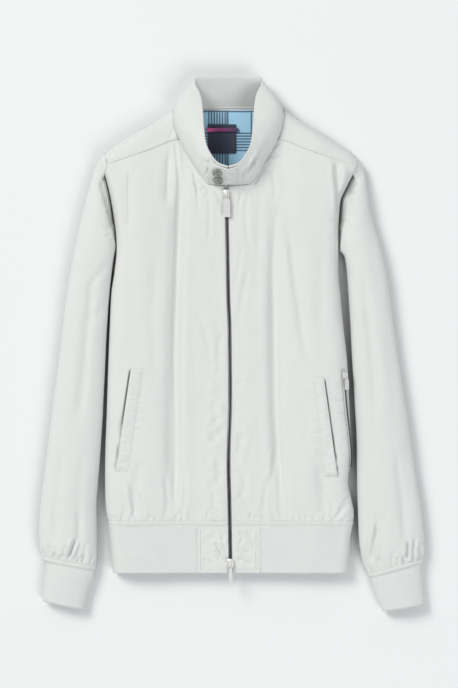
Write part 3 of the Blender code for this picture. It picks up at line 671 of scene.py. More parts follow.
def mesh_object(name: str, vertices: Array, faces: list[Face], smooth: bool = True) -> Piece:
    """New piece from points and faces.

    Args:
        name: name of the piece.
        vertices: its points in millimetres.
        faces: numbers of the points round each face.
        smooth: whether it is shaded smooth.

    Returns:
        The piece.
    """
    mesh = bpy.data.meshes.new(name)
    mesh.from_pydata((np.asarray(vertices, float) * MM).tolist(), [], faces)
    mesh.update()
    if smooth:
        mesh.shade_smooth()
    return linked(name, mesh)


def smoothed(item: Piece, degrees: float) -> Piece:
    """Shade a piece smooth, apart from edges sharper than an angle.

    Args:
        item: piece to shade.
        degrees: angle above which an edge stays sharp.

    Returns:
        The same piece.
    """
    item.data.shade_smooth()
    item.data.set_sharp_from_angle(angle=math.radians(degrees))
    return item


def ring_faces(rings: int, count: int, flip: bool = False) -> list[Face]:
    """Faces of a solid through rings of points, with a cap at each end.

    Args:
        rings: number of rings.
        count: number of points in a ring.
        flip: whether the faces are turned over.

    Returns:
        Numbers of the points round each face.
    """
    faces: list[Face] = [tuple(range(count))[::-1]]
    for low in range(0, (rings - 1) * count, count):
        for i in range(count):
            n, high = low + (i + 1) % count, low + count
            faces.append((low + i, n, n + count, high + i))
    faces.append(tuple(range((rings - 1) * count, rings * count)))
    return [(face[0], *face[:0:-1]) for face in faces] if flip else faces


def joined(name: str, items: Sequence[Piece]) -> Piece:
    """Join the evaluated meshes of some objects into one and remove them.

    Args:
        name: name of the new object.
        items: objects to join.

    Returns:
        The joined object, at the origin.
    """
    work = bmesh.new()
    depsgraph = bpy.context.evaluated_depsgraph_get()
    for item in items:
        mesh = bpy.data.meshes.new_from_object(item.evaluated_get(depsgraph))
        mesh.transform(item.matrix_world)
        work.from_mesh(mesh)
        bpy.data.meshes.remove(mesh)
    mesh = bpy.data.meshes.new(name)
    work.to_mesh(mesh)
    work.free()
    for item in items:
        bpy.data.objects.remove(item, do_unlink=True)
    return linked(name, mesh)


# ---------------------------------------------------------------- shared effects and finishes


@dataclass(frozen=True)
class Effect:
    """Node group that works out varying colours, masks and heights."""

    name: str
    inputs: tuple[tuple[str, str, float | tuple[float, ...]], ...]
    outputs: tuple[tuple[str, str], ...]

    def tree(self) -> bpy.types.NodeTree:
        """The group, made the first time it is asked for.

        Returns:
            The group.
        """
        found = bpy.data.node_groups.get(self.name)
        if found:
            return found
        tree = bpy.data.node_groups.new(self.name, "ShaderNodeTree")
        for name, kind, value in self.inputs:
            socket = tree.interface.new_socket(name, in_out="INPUT", socket_type="NodeSocket" + kind)
            socket.default_value = value
        for name, kind in self.outputs:
            tree.interface.new_socket(name, in_out="OUTPUT", socket_type="NodeSocket" + kind)
        self.wire(NodeWork(tree))
        return tree

    def wire(self, work: "NodeWork") -> None:
        """Lay the group's nodes."""
        raise NotImplementedError


class NodeWork:
    """Short ways to add nodes to a tree."""

    def __init__(self, tree: bpy.types.NodeTree) -> None:
        """Keep the tree, and add a group's ends.

        Args:
            tree: tree that the nodes go into.
        """
        self.tree = tree
        if tree.interface.items_tree:
            self.source = tree.nodes.new("NodeGroupInput")
            self.target = tree.nodes.new("NodeGroupOutput")

    def put(self, socket: Socket, value: object) -> None:
        """Link or set a socket.

        Args:
            socket: input of a node.
            value: socket to link, or value to set.
        """
        if isinstance(value, Socket):
            self.tree.links.new(value, socket)
        else:
            socket.default_value = value

    def fill(self, node: bpy.types.Node, values: dict[str, object]) -> None:
        """Link or set some of a node's inputs, by their names."""
        for name, value in values.items():
            self.put(node.inputs[name], value)

    def add(self, kind: str, values: Sequence[object] = (), **settings: object) -> bpy.types.Node:
        """Add a node.

        Args:
            kind: node type without its prefix.
            values: sockets or values for the first inputs; None leaves an input.
            settings: properties of the node.

        Returns:
            The node.
        """
        node = self.tree.nodes.new("ShaderNode" + kind)
        for key, value in settings.items():
            setattr(node, key, value)
        for socket, value in zip(node.inputs, values):
            if value is not None:
                self.put(socket, value)
        return node

    def math(self, operation: str, *values: object) -> Socket:
        """Result of a sum."""
        return self.add("Math", values, operation=operation).outputs[0]

    def given(self, name: str) -> Socket:
        """Input of the group."""
        return self.source.outputs[name]

    def give(self, name: str, value: object) -> None:
        """Set an output of the group."""
        self.put(self.target.inputs[name], value)

    def place(self) -> Socket:
        """Place on the piece in metres."""
        return self.add("TexCoord").outputs["Object"]

    def cloth_place(self) -> tuple[Socket, Socket]:
        """Place across and along the cloth in metres."""
        split = self.add("SeparateXYZ", (self.add("UVMap").outputs[0],))
        return split.outputs[0], split.outputs[1]

    def stretched(self, place: Socket, share: float) -> Socket:
        """Place that counts less along Y, which draws a pattern out that way."""
        return self.add("Mapping", (place, None, None, (1.0, share, 1.0))).outputs[0]

    def noise(self, place: Socket, scale: object, detail: float = 2.0, rough: float = 0.5) -> Socket:
        """Noise value.

        Args:
            place: place on the piece.
            scale: waves in each metre.
            detail: number of finer layers.
            rough: share of the finer layers.

        Returns:
            Value from 0 to 1.
        """
        node = self.add("TexNoise")
        self.fill(node, {"Vector": place, "Scale": scale, "Detail": detail, "Roughness": rough})
        return node.outputs[0]

    def sway(self, noise: Socket, size: object, middle: object = 1.0) -> Socket:
        """Middle value, moved up and down by a noise."""
        return self.math("MULTIPLY_ADD", self.math("SUBTRACT", noise, 0.5), size, middle)

    def wave(self, place: object, period: object, phase: object = 0.0) -> Socket:
        """Sine of a place, from -1 to 1."""
        turns = self.math("DIVIDE", place, period)
        return self.math("SINE", self.math("MULTIPLY_ADD", turns, 2 * math.pi, phase))

    def scaled(self, colour: object, share: Socket) -> Socket:
        """Colour times a value.

        Args:
            colour: colour to scale.
            share: factor.

        Returns:
            The scaled colour.
        """
        node = self.add("VectorMath", (colour,), operation="SCALE")
        self.put(node.inputs["Scale"], share)
        return node.outputs[0]

    def hollow(self, colour: Socket, reach: float, dark: float = 0.03, low: float = 0.04,
               high: float = 0.36) -> Socket:
        """Colour with painted shade, which sinks to near black in narrow hollows where hardly any sky is
        seen.

        Args:
            colour: colour in the open.
            reach: how far round a point is looked, in metres.
            dark: share of the colour that is left where the painted shade is deepest.
            low: share of open sky below which a point gets the deepest painted shade.
            high: share of open sky above which the colour is whole.

        Returns:
            The colour, with its painted shade.
        """
        # painted shade: ambient occlusion darkens the colour where little open sky is seen
        seen = self.add("AmbientOcclusion", samples=6)
        seen.inputs["Distance"].default_value = reach
        share = self.span(seen.outputs["AO"], low, high)
        return self.scaled(colour, self.math("MULTIPLY_ADD", share, 1.0 - dark, dark))

    def mix(self, share: object, low: object, high: object) -> Socket:
        """Colour between two colours.

        Args:
            share: share of the second colour.
            low: first colour.
            high: second colour.

        Returns:
            The mixed colour.
        """
        node = self.add("Mix", data_type="RGBA")
        self.put(node.inputs[0], share)
        self.put(node.inputs[6], low)
        self.put(node.inputs[7], high)
        return node.outputs[2]

    def span(self, value: Socket, low: float, high: float) -> Socket:
        """Value carried smoothly from a range to 0 to 1."""
        return self.add("MapRange", (value, low, high), interpolation_type="SMOOTHSTEP").outputs[0]


@dataclass(frozen=True)
class PlainWeave(Effect):
    """Fine over and under threads with painted light and shade on them, soft crinkles and faint mottling
    of woven cloth.
    """

    name: str = "plain_weave"
    inputs: tuple = (("Tint", "Color", (0.7, 0.7, 0.7, 1.0)), ("Thread", "Float", 0.0005),
                     ("Crinkle", "Float", 90.0), ("Mottle", "Float", 0.04))
    outputs: tuple = (("Colour", "Color"), ("Weave", "Float"), ("Crinkles", "Float"),
                      ("Roughness", "Float"))
    slub_scale: float = 900.0
    slub_draw: float = 0.12
    slub_shade: float = 0.03
    slub_height: float = 0.6
    mottle_scale: float = 28.0
    thread_shade: float = 0.012
    crinkle_draw: float = 0.4
    rough_low: float = 0.58
    rough_span: float = 0.16

    def wire(self, work: NodeWork) -> None:
        """Lay the group's nodes.

        Args:
            work: tool that adds nodes to the group.
        """
        across, along = work.cloth_place()
        thread, place = work.given("Thread"), work.place()
        weave = work.math("MULTIPLY", work.wave(across, thread), work.wave(along, thread))
        slubs = work.noise(work.stretched(place, self.slub_draw), self.slub_scale, 2.0, 0.6)
        mottle = work.noise(place, self.mottle_scale, 3.0, 0.6)
        shade = work.sway(slubs, self.slub_shade, work.sway(mottle, work.given("Mottle")))
        # painted light and shade: the colour is brighter where the threads rise and darker where they dip
        shade = work.math("MULTIPLY_ADD", weave, self.thread_shade, shade)
        work.give("Colour", work.scaled(work.given("Tint"), shade))
        work.give("Weave", work.math("MULTIPLY_ADD", slubs, self.slub_height, weave))
        crinkles = work.noise(work.stretched(place, self.crinkle_draw), work.given("Crinkle"), 3.0)
        work.give("Crinkles", crinkles)
        work.give("Roughness", work.math("MULTIPLY_ADD", mottle, self.rough_span, self.rough_low))


@dataclass(frozen=True)
class KnitRib(Effect):
    """Ribs that run along the piece, with the small slanted stitches of each and painted shade in the
    valleys between the ribs.
    """

    name: str = "knit_rib"
    inputs: tuple = (("Tint", "Color", (0.7, 0.7, 0.7, 1.0)), ("Rib", "Float", 0.0026),
                     ("Stitch", "Float", 0.0012))
    outputs: tuple = (("Colour", "Color"), ("Height", "Float"))
    drift_scale: float = 60.0
    drift: float = 0.0008
    slant: float = 1.6
    stitch_height: float = 0.22
    valley_shade: float = 0.96
    mottle_scale: float = 40.0
    mottle: float = 0.05

    def wire(self, work: NodeWork) -> None:
        """Lay the group's nodes.

        Args:
            work: tool that adds nodes to the group.
        """
        across, along = work.cloth_place()
        place, rib = work.place(), work.given("Rib")
        across = work.sway(work.noise(place, self.drift_scale), self.drift, across)
        crest = work.span(work.wave(across, rib), -0.7, 0.7)
        beside = work.math("ABSOLUTE", work.wave(across, work.math("MULTIPLY", rib, 2.0)))
        slant = work.math("MULTIPLY", beside, self.slant)
        stitch = work.math("MULTIPLY", work.wave(along, work.given("Stitch"), slant), crest)
        # painted shade: the colour is darker in the valleys between the ribs
        shade = work.math("MULTIPLY_ADD", crest, 1.0 - self.valley_shade, self.valley_shade)
        shade = work.sway(work.noise(place, self.mottle_scale, 3.0), self.mottle, shade)
        work.give("Colour", work.scaled(work.given("Tint"), shade))
        work.give("Height", work.math("MULTIPLY_ADD", stitch, self.stitch_height, crest))


@dataclass(frozen=True)
class WindowCheck(Effect):
    """Plain woven check: bands of thin dark stripes both ways, lighter where two cross.

    A band's four sizes are its start, its width, its repeat and its stripes' period in metres.
    """

    name: str = "window_check"
    inputs: tuple = (("Ground", "Color", (0.2, 0.4, 0.6, 1.0)),
                     ("Stripe", "Color", (0.01, 0.05, 0.15, 1.0)),
                     ("Dot", "Color", (0.7, 0.8, 0.9, 1.0)))
    outputs: tuple = (("Colour", "Color"), ("Weave", "Float"))
    up: tuple[float, ...] = (-0.0365, 0.0300, 0.0640, 0.0041)
    flat: tuple[float, ...] = (0.2895, 0.0300, 0.0585, 0.0043)
    lone_repeat: float = 0.0640
    lone_phase: float = 2.2
    lone_cut: float = 0.985
    lone_share: float = 0.8
    band_share: float = 0.08
    stripe_share: float = 0.86
    dot_share: float = 0.75
    thread: float = 0.0005
    thread_shade: float = 0.06

    def band(self, work: NodeWork, at: Socket, sizes: tuple[float, ...]) -> tuple[Socket, Socket]:
        """Masks of the stripes, and of the band that they fill.

        Args:
            work: tool that adds nodes to the group.
            at: place across the band.
            sizes: sizes of the band and its stripes.

        Returns:
            Mask of the stripes and mask of the band.
        """
        start, width, repeat, period = sizes
        local = work.math("FLOORED_MODULO", work.math("SUBTRACT", at, start), repeat)
        inside = work.math("LESS_THAN", local, width)
        stripe = work.span(work.wave(local, period, -math.pi / 2), -0.1, 0.5)
        return work.math("MULTIPLY", stripe, inside), inside

    def wire(self, work: NodeWork) -> None:
        """Lay the group's nodes.

        Args:
            work: tool that adds nodes to the group.
        """
        x, y = work.add("SeparateXYZ", (work.place(),)).outputs[:2]
        dark, dot = work.given("Stripe"), work.given("Dot")
        (up, up_band), (flat, flat_band) = self.band(work, x, self.up), self.band(work, y, self.flat)
        lone = work.math("GREATER_THAN", work.wave(x, self.lone_repeat, self.lone_phase), self.lone_cut)
        lone = work.math("MULTIPLY", lone, self.lone_share)
        stripes = work.math("MAXIMUM", work.math("MAXIMUM", up, flat), lone)
        bands = work.math("MULTIPLY", work.math("MAXIMUM", up_band, flat_band), self.band_share)
        colour = work.mix(bands, work.given("Ground"), dark)
        colour = work.mix(work.math("MULTIPLY", stripes, self.stripe_share), colour, dark)
        both = work.math("MULTIPLY", up_band, flat_band)
        crossing = work.math("MULTIPLY", work.math("SUBTRACT", 1.0, stripes), both)
        colour = work.mix(work.math("MULTIPLY", crossing, self.dot_share), colour, dot)
        weave = work.math("MULTIPLY", work.wave(x, self.thread), work.wave(y, self.thread))
        # painted light and shade: the colour is brighter where the threads rise and darker where they dip
        shade = work.math("MULTIPLY_ADD", weave, self.thread_shade, 1.0)
        work.give("Colour", work.scaled(colour, shade))
        work.give("Weave", weave)


@dataclass(frozen=True)
class WornMetal(Effect):
    """Fine scratches and tarnish of a plated metal."""

    name: str = "worn_metal"
    inputs: tuple = (("Tint", "Color", (0.5, 0.5, 0.5, 1.0)), ("Base", "Float", 0.3))
    outputs: tuple = (("Colour", "Color"), ("Roughness", "Float"), ("Height", "Float"))
    scratch_scale: float = 4200.0
    scratch_draw: float = 0.06
    cloud_scale: float = 320.0
    cloud_shade: float = 0.35
    cloud_rough: float = 0.18

    def wire(self, work: NodeWork) -> None:
        """Lay the group's nodes.

        Args:
            work: tool that adds nodes to the group.
        """
        place = work.place()
        cloud = work.noise(place, self.cloud_scale, 3.0)
        work.give("Colour", work.scaled(work.given("Tint"), work.sway(cloud, self.cloud_shade)))
        work.give("Roughness", work.math("MULTIPLY_ADD", cloud, self.cloud_rough, work.given("Base")))
        work.give("Height", work.noise(work.stretched(place, self.scratch_draw), self.scratch_scale))


def solid(colour: Colour, share: float = 1.0) -> tuple[float, float, float, float]:
    """Colour times a share, with full alpha."""
    return (*(share * part for part in colour), 1.0)


@dataclass(frozen=True)
class Finish:
    """Finish of a surface: its name, its slot in the record and its colour in linear light."""

    name: str
    slot: str
    tint: Colour

    def material(self) -> bpy.types.Material:
        """The material, made the first time it is asked for.

        Returns:
            The material.
        """
        found = bpy.data.materials.get(self.name)
        if found:
            return found
        material = bpy.data.materials.new(self.name)
        material.use_nodes = True
        work = NodeWork(material.node_tree)
        shader = material.node_tree.nodes["Principled BSDF"]
        shader.inputs["Base Color"].default_value = solid(self.tint)
        self.dress(work, shader)
        return material

    def effect(self, work: NodeWork, effect: Effect, **values: object) -> bpy.types.bpy_prop_collection:
        """Add a shared effect to the material.

        Args:
            work: the material's nodes.
            effect: the effect.
            values: values of its inputs by their names.

        Returns:
            The effect's outputs.
        """
        node = work.add("Group", node_tree=effect.tree())
        work.fill(node, values)
        return node.outputs

    def bump(self, work: NodeWork, height: Socket, distance: float, strength: float = 1.0,
             under: Optional[Socket] = None) -> Socket:
        """Normal of a bumpy surface.

        Args:
            work: the material's nodes.
            height: height from 0 to 1.
            distance: real size of that height in metres.
            strength: share of the effect.
            under: normal of a coarser surface below it.

        Returns:
            The normal.
        """
        node = work.add("Bump")
        work.fill(node, {"Strength": strength, "Distance": distance, "Height": height})
        if under is not None:
            work.put(node.inputs["Normal"], under)
        return node.outputs[0]

    def dress(self, work: NodeWork, shader: bpy.types.Node) -> None:
        """Link the finish's nodes to the shader."""
        raise NotImplementedError


@dataclass(frozen=True)
class WovenFinish(Finish):
    """Woven cloth, whose colour carries painted shade in narrow hollows."""

    thread: float = 0.0005
    crinkle: float = 70.0
    crinkle_height: float = 0.0005
    sheen: float = 0.25
    mottle: float = 0.04
    # painted shade: how far round a point is looked before the colour is darkened
    hollow_reach: float = 0.03

    def dress(self, work: NodeWork, shader: bpy.types.Node) -> None:
        """Link the weave, darkened by painted shade in narrow hollows, to the shader.

        Args:
            work: tool that adds nodes to the group.
            shader: shader that the colour and the bump go to.
        """
        weave = self.effect(work, PlainWeave(), Tint=solid(self.tint), Thread=self.thread,
                            Crinkle=self.crinkle, Mottle=self.mottle)
        soft = self.bump(work, weave["Crinkles"], self.crinkle_height)
        # painted shade: the weave's colour sinks to near black in crevices such as the gaps beside the
        # sleeves
        work.fill(shader, {"Base Color": work.hollow(weave["Colour"], self.hollow_reach),
                           "Roughness": weave["Roughness"],
                           "Normal": self.bump(work, weave["Weave"], 0.00005, 0.7, soft),
                           "Sheen Weight": self.sheen, "Sheen Roughness": 0.5,
                           "Specular IOR Level": 0.35})


@dataclass(frozen=True)
class KnitFinish(Finish):
    """Knitted rib."""

    rib: float = 0.0026
    stitch: float = 0.0012

    def dress(self, work: NodeWork, shader: bpy.types.Node) -> None:
        """Link the knit to the shader.

        Args:
            work: tool that adds nodes to the group.
            shader: shader that the colour and the bump go to.
        """
        knit = self.effect(work, KnitRib(), Tint=solid(self.tint), Rib=self.rib, Stitch=self.stitch)
        work.fill(shader, {"Base Color": knit["Colour"], "Roughness": 0.85,
                           "Normal": self.bump(work, knit["Height"], 0.0003, 0.7),
                           "Sheen Weight": 0.3, "Specular IOR Level": 0.25})


@dataclass(frozen=True)
class CheckFinish(Finish):
    """Checked lining."""

    stripe: Colour = (0.007, 0.030, 0.090)
    dot: Colour = (0.62, 0.78, 0.86)

    def dress(self, work: NodeWork, shader: bpy.types.Node) -> None:
        """Link the check to the shader.

        Args:
            work: tool that adds nodes to the group.
            shader: shader that the colour and the bump go to.
        """
        check = self.effect(work, WindowCheck(), Ground=solid(self.tint), Stripe=solid(self.stripe),
                            Dot=solid(self.dot))
        crinkle = self.bump(work, work.noise(work.place(), 120.0, 3.0), 0.0006)
        work.fill(shader, {"Base Color": check["Colour"], "Roughness": 0.62,
                           "Normal": self.bump(work, check["Weave"], 0.00004, 0.6, crinkle)})


@dataclass(frozen=True)
class RibbonFinish(Finish):
    """Ribbon whose colour fades from one end to the other."""

    far: Colour = (0.08, 0.045, 0.14)
    middle: Colour = (0.30, 0.06, 0.20)
    half: float = 0.024
    turn_at: float = -0.0024

    def dress(self, work: NodeWork, shader: bpy.types.Node) -> None:
        """Link the fading colour and the ribs to the shader.

        Args:
            work: tool that adds nodes to the group.
            shader: shader that the colour and the bump go to.
        """
        across, _ = work.cloth_place()
        first = work.mix(work.span(across, -self.half, self.turn_at), solid(self.tint),
                         solid(self.middle))
        colour = work.mix(work.span(across, self.turn_at, self.half), first, solid(self.far))
        work.fill(shader, {"Base Color": colour, "Roughness": 0.45, "Sheen Weight": 0.3,
                           "Normal": self.bump(work, work.wave(across, 0.0009), 0.0001)})


@dataclass(frozen=True)
class MetalFinish(Finish):
    """Plated metal."""

    base: float = 0.28
    metallic: float = 1.0

    def dress(self, work: NodeWork, shader: bpy.types.Node) -> None:
        """Link the worn metal to the shader.

        Args:
            work: tool that adds nodes to the group.
            shader: shader that the colour and the bump go to.
        """
        metal = self.effect(work, WornMetal(), Tint=solid(self.tint), Base=self.base)
        work.fill(shader, {"Base Color": metal["Colour"], "Roughness": metal["Roughness"],
                           "Normal": self.bump(work, metal["Height"], 0.00004, 0.4),
                           "Metallic": self.metallic})


@dataclass(frozen=True)
class ButtonFinish(Finish):
    """Polished button with cloudy veins."""

    vein: Colour = (0.20, 0.20, 0.19)

    def dress(self, work: NodeWork, shader: bpy.types.Node) -> None:
        """Link the veins to the shader.

        Args:
            work: tool that adds nodes to the group.
            shader: shader that the colour and the bump go to.
        """
        veins = work.span(work.noise(work.place(), 260.0, 4.0, 0.65), 0.42, 0.62)
        work.fill(shader, {"Base Color": work.mix(veins, solid(self.tint), solid(self.vein)),
                           "Roughness": 0.3, "Coat Weight": 0.3})


@dataclass(frozen=True)
class ThreadFinish(Finish):
    """Twisted sewing thread."""

    shade: float = 0.8

    def dress(self, work: NodeWork, shader: bpy.types.Node) -> None:
        """Link the twist to the shader.

        Args:
            work: tool that adds nodes to the group.
            shader: shader that the colour and the bump go to.
        """
        twist = work.noise(work.place(), 2600.0, 1.0)
        work.fill(shader, {"Base Color": work.mix(twist, solid(self.tint), solid(self.tint, self.shade)),
                           "Normal": self.bump(work, twist, 0.0001, 0.8), "Roughness": 0.6})


@dataclass(frozen=True)
class FloorFinish(Finish):
    """Smooth pale floor, with painted shade in the narrow hollows next to the jacket."""

    shade: float = 0.985
    # painted shade: how far round a point is looked, and the share of the colour left in the deepest
    # crevice
    reach: float = 0.035
    dark: float = 0.04

    def dress(self, work: NodeWork, shader: bpy.types.Node) -> None:
        """Link a faint unevenness and painted shade in narrow hollows to the shader.

        Args:
            work: tool that adds nodes to the group.
            shader: shader that the colour and the bump go to.
        """
        cloud = work.noise(work.place(), 3.0)
        pale = work.mix(cloud, solid(self.tint), solid(self.tint, self.shade))
        # painted shade: the floor's colour sinks towards black in the gaps under and beside the jacket
        work.fill(shader, {"Base Color": work.hollow(pale, self.reach, self.dark), "Roughness": 0.9,
                           "Specular IOR Level": 0.1})


class Finishes:
    """Finishes of the jacket."""

    CLOTH: ClassVar[Colour] = (0.745, 0.76, 0.735)
    SHELL: ClassVar[Finish] = WovenFinish("shell_weave", "shell_cloth", CLOTH)
    # painted shade on the collar looks only a short way round each point
    COLLAR: ClassVar[Finish] = WovenFinish("collar_weave", "shell_cloth", CLOTH, crinkle_height=0.0004,
                                           hollow_reach=0.012)
    RIB: ClassVar[Finish] = KnitFinish("rib_knit", "knitted_rib", (0.765, 0.78, 0.757), rib=0.0019,
                                       stitch=0.0011)
    LINING: ClassVar[Finish] = CheckFinish("lining_check", "checked_lining", (0.43, 0.73, 0.94))
    LABEL: ClassVar[Finish] = WovenFinish("label_cloth", "label_weave", (0.055, 0.063, 0.098),
                                          thread=0.0004,
                                          crinkle=140.0, crinkle_height=0.0003, sheen=0.1, mottle=0.2)
    RIBBON: ClassVar[Finish] = RibbonFinish("ribbon_weave", "loop_ribbon", (1.0, 0.14, 0.42))
    TAPE: ClassVar[Finish] = WovenFinish("tape_weave", "zip_tape", (0.68, 0.69, 0.67), thread=0.0007,
                                         crinkle_height=0.0002)
    DARK_METAL: ClassVar[Finish] = MetalFinish("gunmetal", "dark_metal", (0.13, 0.13, 0.135), base=0.3)
    SILVER: ClassVar[Finish] = MetalFinish("silver", "silver_metal", (0.90, 0.90, 0.88), base=0.30,
                                           metallic=0.62)
    BUTTON: ClassVar[Finish] = ButtonFinish("button_polish", "button_stone", (0.34, 0.35, 0.33))
    THREAD: ClassVar[Finish] = ThreadFinish("thread", "shell_cloth", (0.62, 0.635, 0.61))
    FLOOR: ClassVar[Finish] = FloorFinish("floor_paper", "floor", (0.86, 0.87, 0.87))


# ---------------------------------------------------------------- cloth pieces


@dataclass(frozen=True)
class Cut:
    """Flat piece that a sheet was cut from, in metres, and how the sheet is held."""

    width: float
    length: float
    area: float
    hold: Hold = Hold.LAID


def dress(item: Piece, finish: Finish, node: str = "", body: Body = Body.JACKET) -> Piece:
    """Give a piece its finish, hang it on the empty of the body it moves with, and hide the part of
    model.glb that it stands for.

    Args:
        item: the piece.
        finish: its finish.
        node: node of the frame that it stands for, if any.
        body: body that it moves with.

    Returns:
        The piece.
    """
    item.data.materials.clear()
    item.data.materials.append(finish.material())
    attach(item, body.value)
    if node:
        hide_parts(node)
    LOG.info("%s: %d faces", item.name, len(item.data.polygons))
    return item


def twin_seam(distance: Array, width: float, height: float) -> Array:
    """Rise of a seam strip between two rows of stitches.

    Args:
        distance: distance of each point from the strip's lower edge.
        width: width of the strip.
        height: height of its swell.

    Returns:
        Rise of each point, below zero along the stitches.
    """
    strip = between(distance, (-1.2, 1.0), (width + 0.6, 1.2))
    puff = 1.0 - 0.35 * np.cos(2 * math.pi * np.clip(distance / width, 0, 1))
    rows = bell(distance - width - 0.4, 0.7) + 0.8 * bell(distance - 0.5, 0.55)
    return height * (0.75 * strip * puff - 1.3 * rows)


@dataclass
class FrontPanel:
    """Front of the body, from the zip round the side."""

    side: Side
    relief: Relief
    flat_columns: int = 118
    roll_columns: int = 16
    rows: int = 226
    zip_slot: float = 2.9
    side_seam: float = 122.0
    armhole: float = 90.0
    armhole_low: float = 95.0
    underarm_y: float = 145.0
    crevice: float = 7.0
    crevice_width: float = 4.0
    crevice_low: PlanPoint = (150.0, 30.0)
    crevice_top: PlanPoint = (264.0, 16.0)
    thickness: float = 1.2
    row_bend: float = 0.3
    band: float = 10.0
    band_rows: int = 20
    band_width: float = 5.6
    band_rise: float = 0.8
    lap: float = 1.3
    tuck: float = 1.7
    tuck_extra: float = 1.2
    tuck_first: float = 0.35
    tuck_start: PlanPoint = (28.0, 12.0)
    tuck_end: PlanPoint = (78.0, 4.0)
    tuck_drop: tuple[float, float] = (0.2, 0.95)
    edge_reach: float = 9.0
    edge_share: float = 0.15
    seam_reach: float = 5.0
    seam_share: float = 0.25
    top_start: float = 0.5
    top_reach: float = 7.0

    def seam_angle(self, y: Array) -> Array:
        """Where the front ends on the rounded side."""
        up = ease((y - self.armhole_low) / (self.underarm_y - self.armhole_low))
        return self.side_seam + (self.armhole - self.side_seam) * up

    def points(self) -> Array:
        """Points of the outer face, waist to neck and shoulder.

        Returns:
            Points in rows from waist to neck.
        """
        count = self.flat_columns
        flat = np.arange(count) / count
        turn = np.arange(self.roll_columns) / (self.roll_columns - 1)

        def rolled(y: Array) -> Array:
            """Points of the columns on the rounded side."""
            return FORM.roll_point(self.side, self.seam_angle(y[..., count:]) * turn, y[..., count:])

        def x_at(y: Array) -> Array:
            """X of every column at its own level.

            Args:
                y: level of each column.

            Returns:
                X of each column.
            """
            level = y[..., :count]
            start = FORM.zip_x(level) + self.side.value * self.zip_slot
            inner = FORM.side_edge(self.side, level) - self.side.value * FORM.read("roll", level)
            return np.concatenate([start + (inner - start) * flat, rolled(y)[..., 0]], axis=-1)

        top = FORM.settle(x_at, FORM.front_top, count + self.roll_columns) - FORM.seam
        share = np.linspace(0, 1, self.rows)[:, None]
        low = FORM.waist_y + self.band
        y = low + (top - low) * ((1 - self.row_bend) * share + self.row_bend * share ** 2)
        strip = np.linspace(FORM.waist_y - self.lap, low, self.band_rows)[:-1, None] + 0 * y[:1]
        out = np.abs(x_at(y[-1:]) - FORM.centre_x)
        tuck = self.tuck * (1 + self.tuck_extra * between(out, self.tuck_start, self.tuck_end))
        y = np.concatenate([strip, y, y[-1:] + self.tuck_first * tuck, y[-1:] + tuck])
        x = x_at(y)
        z = FORM.height(x, y)
        z[:, count:] = rolled(y)[..., 2]
        z[-2:, :count] -= np.array(self.tuck_drop)[:, None]
        fade = between(y, self.crevice_low, self.crevice_top)
        z = z - self.crevice * fade * bell(FORM.side_edge(self.side, y) - x, self.crevice_width)
        points = grid(x, y, z)
        return points if self.side is Side.RIGHT else points[:, ::-1]

    def build(self) -> Piece:
        """Make the front, smooth at its edges and with its waist seam.

        Returns:
            The dressed piece.
        """
        points = self.points()
        x, y = points[..., 0], points[..., 1]
        up, under = y - FORM.waist_y, FORM.front_top(x) - y
        rise = self.relief.rise(x, y) * rising(FORM.inside(x, y) / self.edge_reach, self.edge_share)
        rise = rise * rising(up / self.seam_reach - 1, self.seam_share)
        rise = rise * ease((under - self.top_start) / self.top_reach)
        rise = rise + twin_seam(up, self.band_width, self.band_rise)
        name = "front_" + self.side.name.lower()
        item = ClothSheet(name + "_cloth", self.thickness).add(points, rise).build()
        return dress(item, Finishes.SHELL, name)


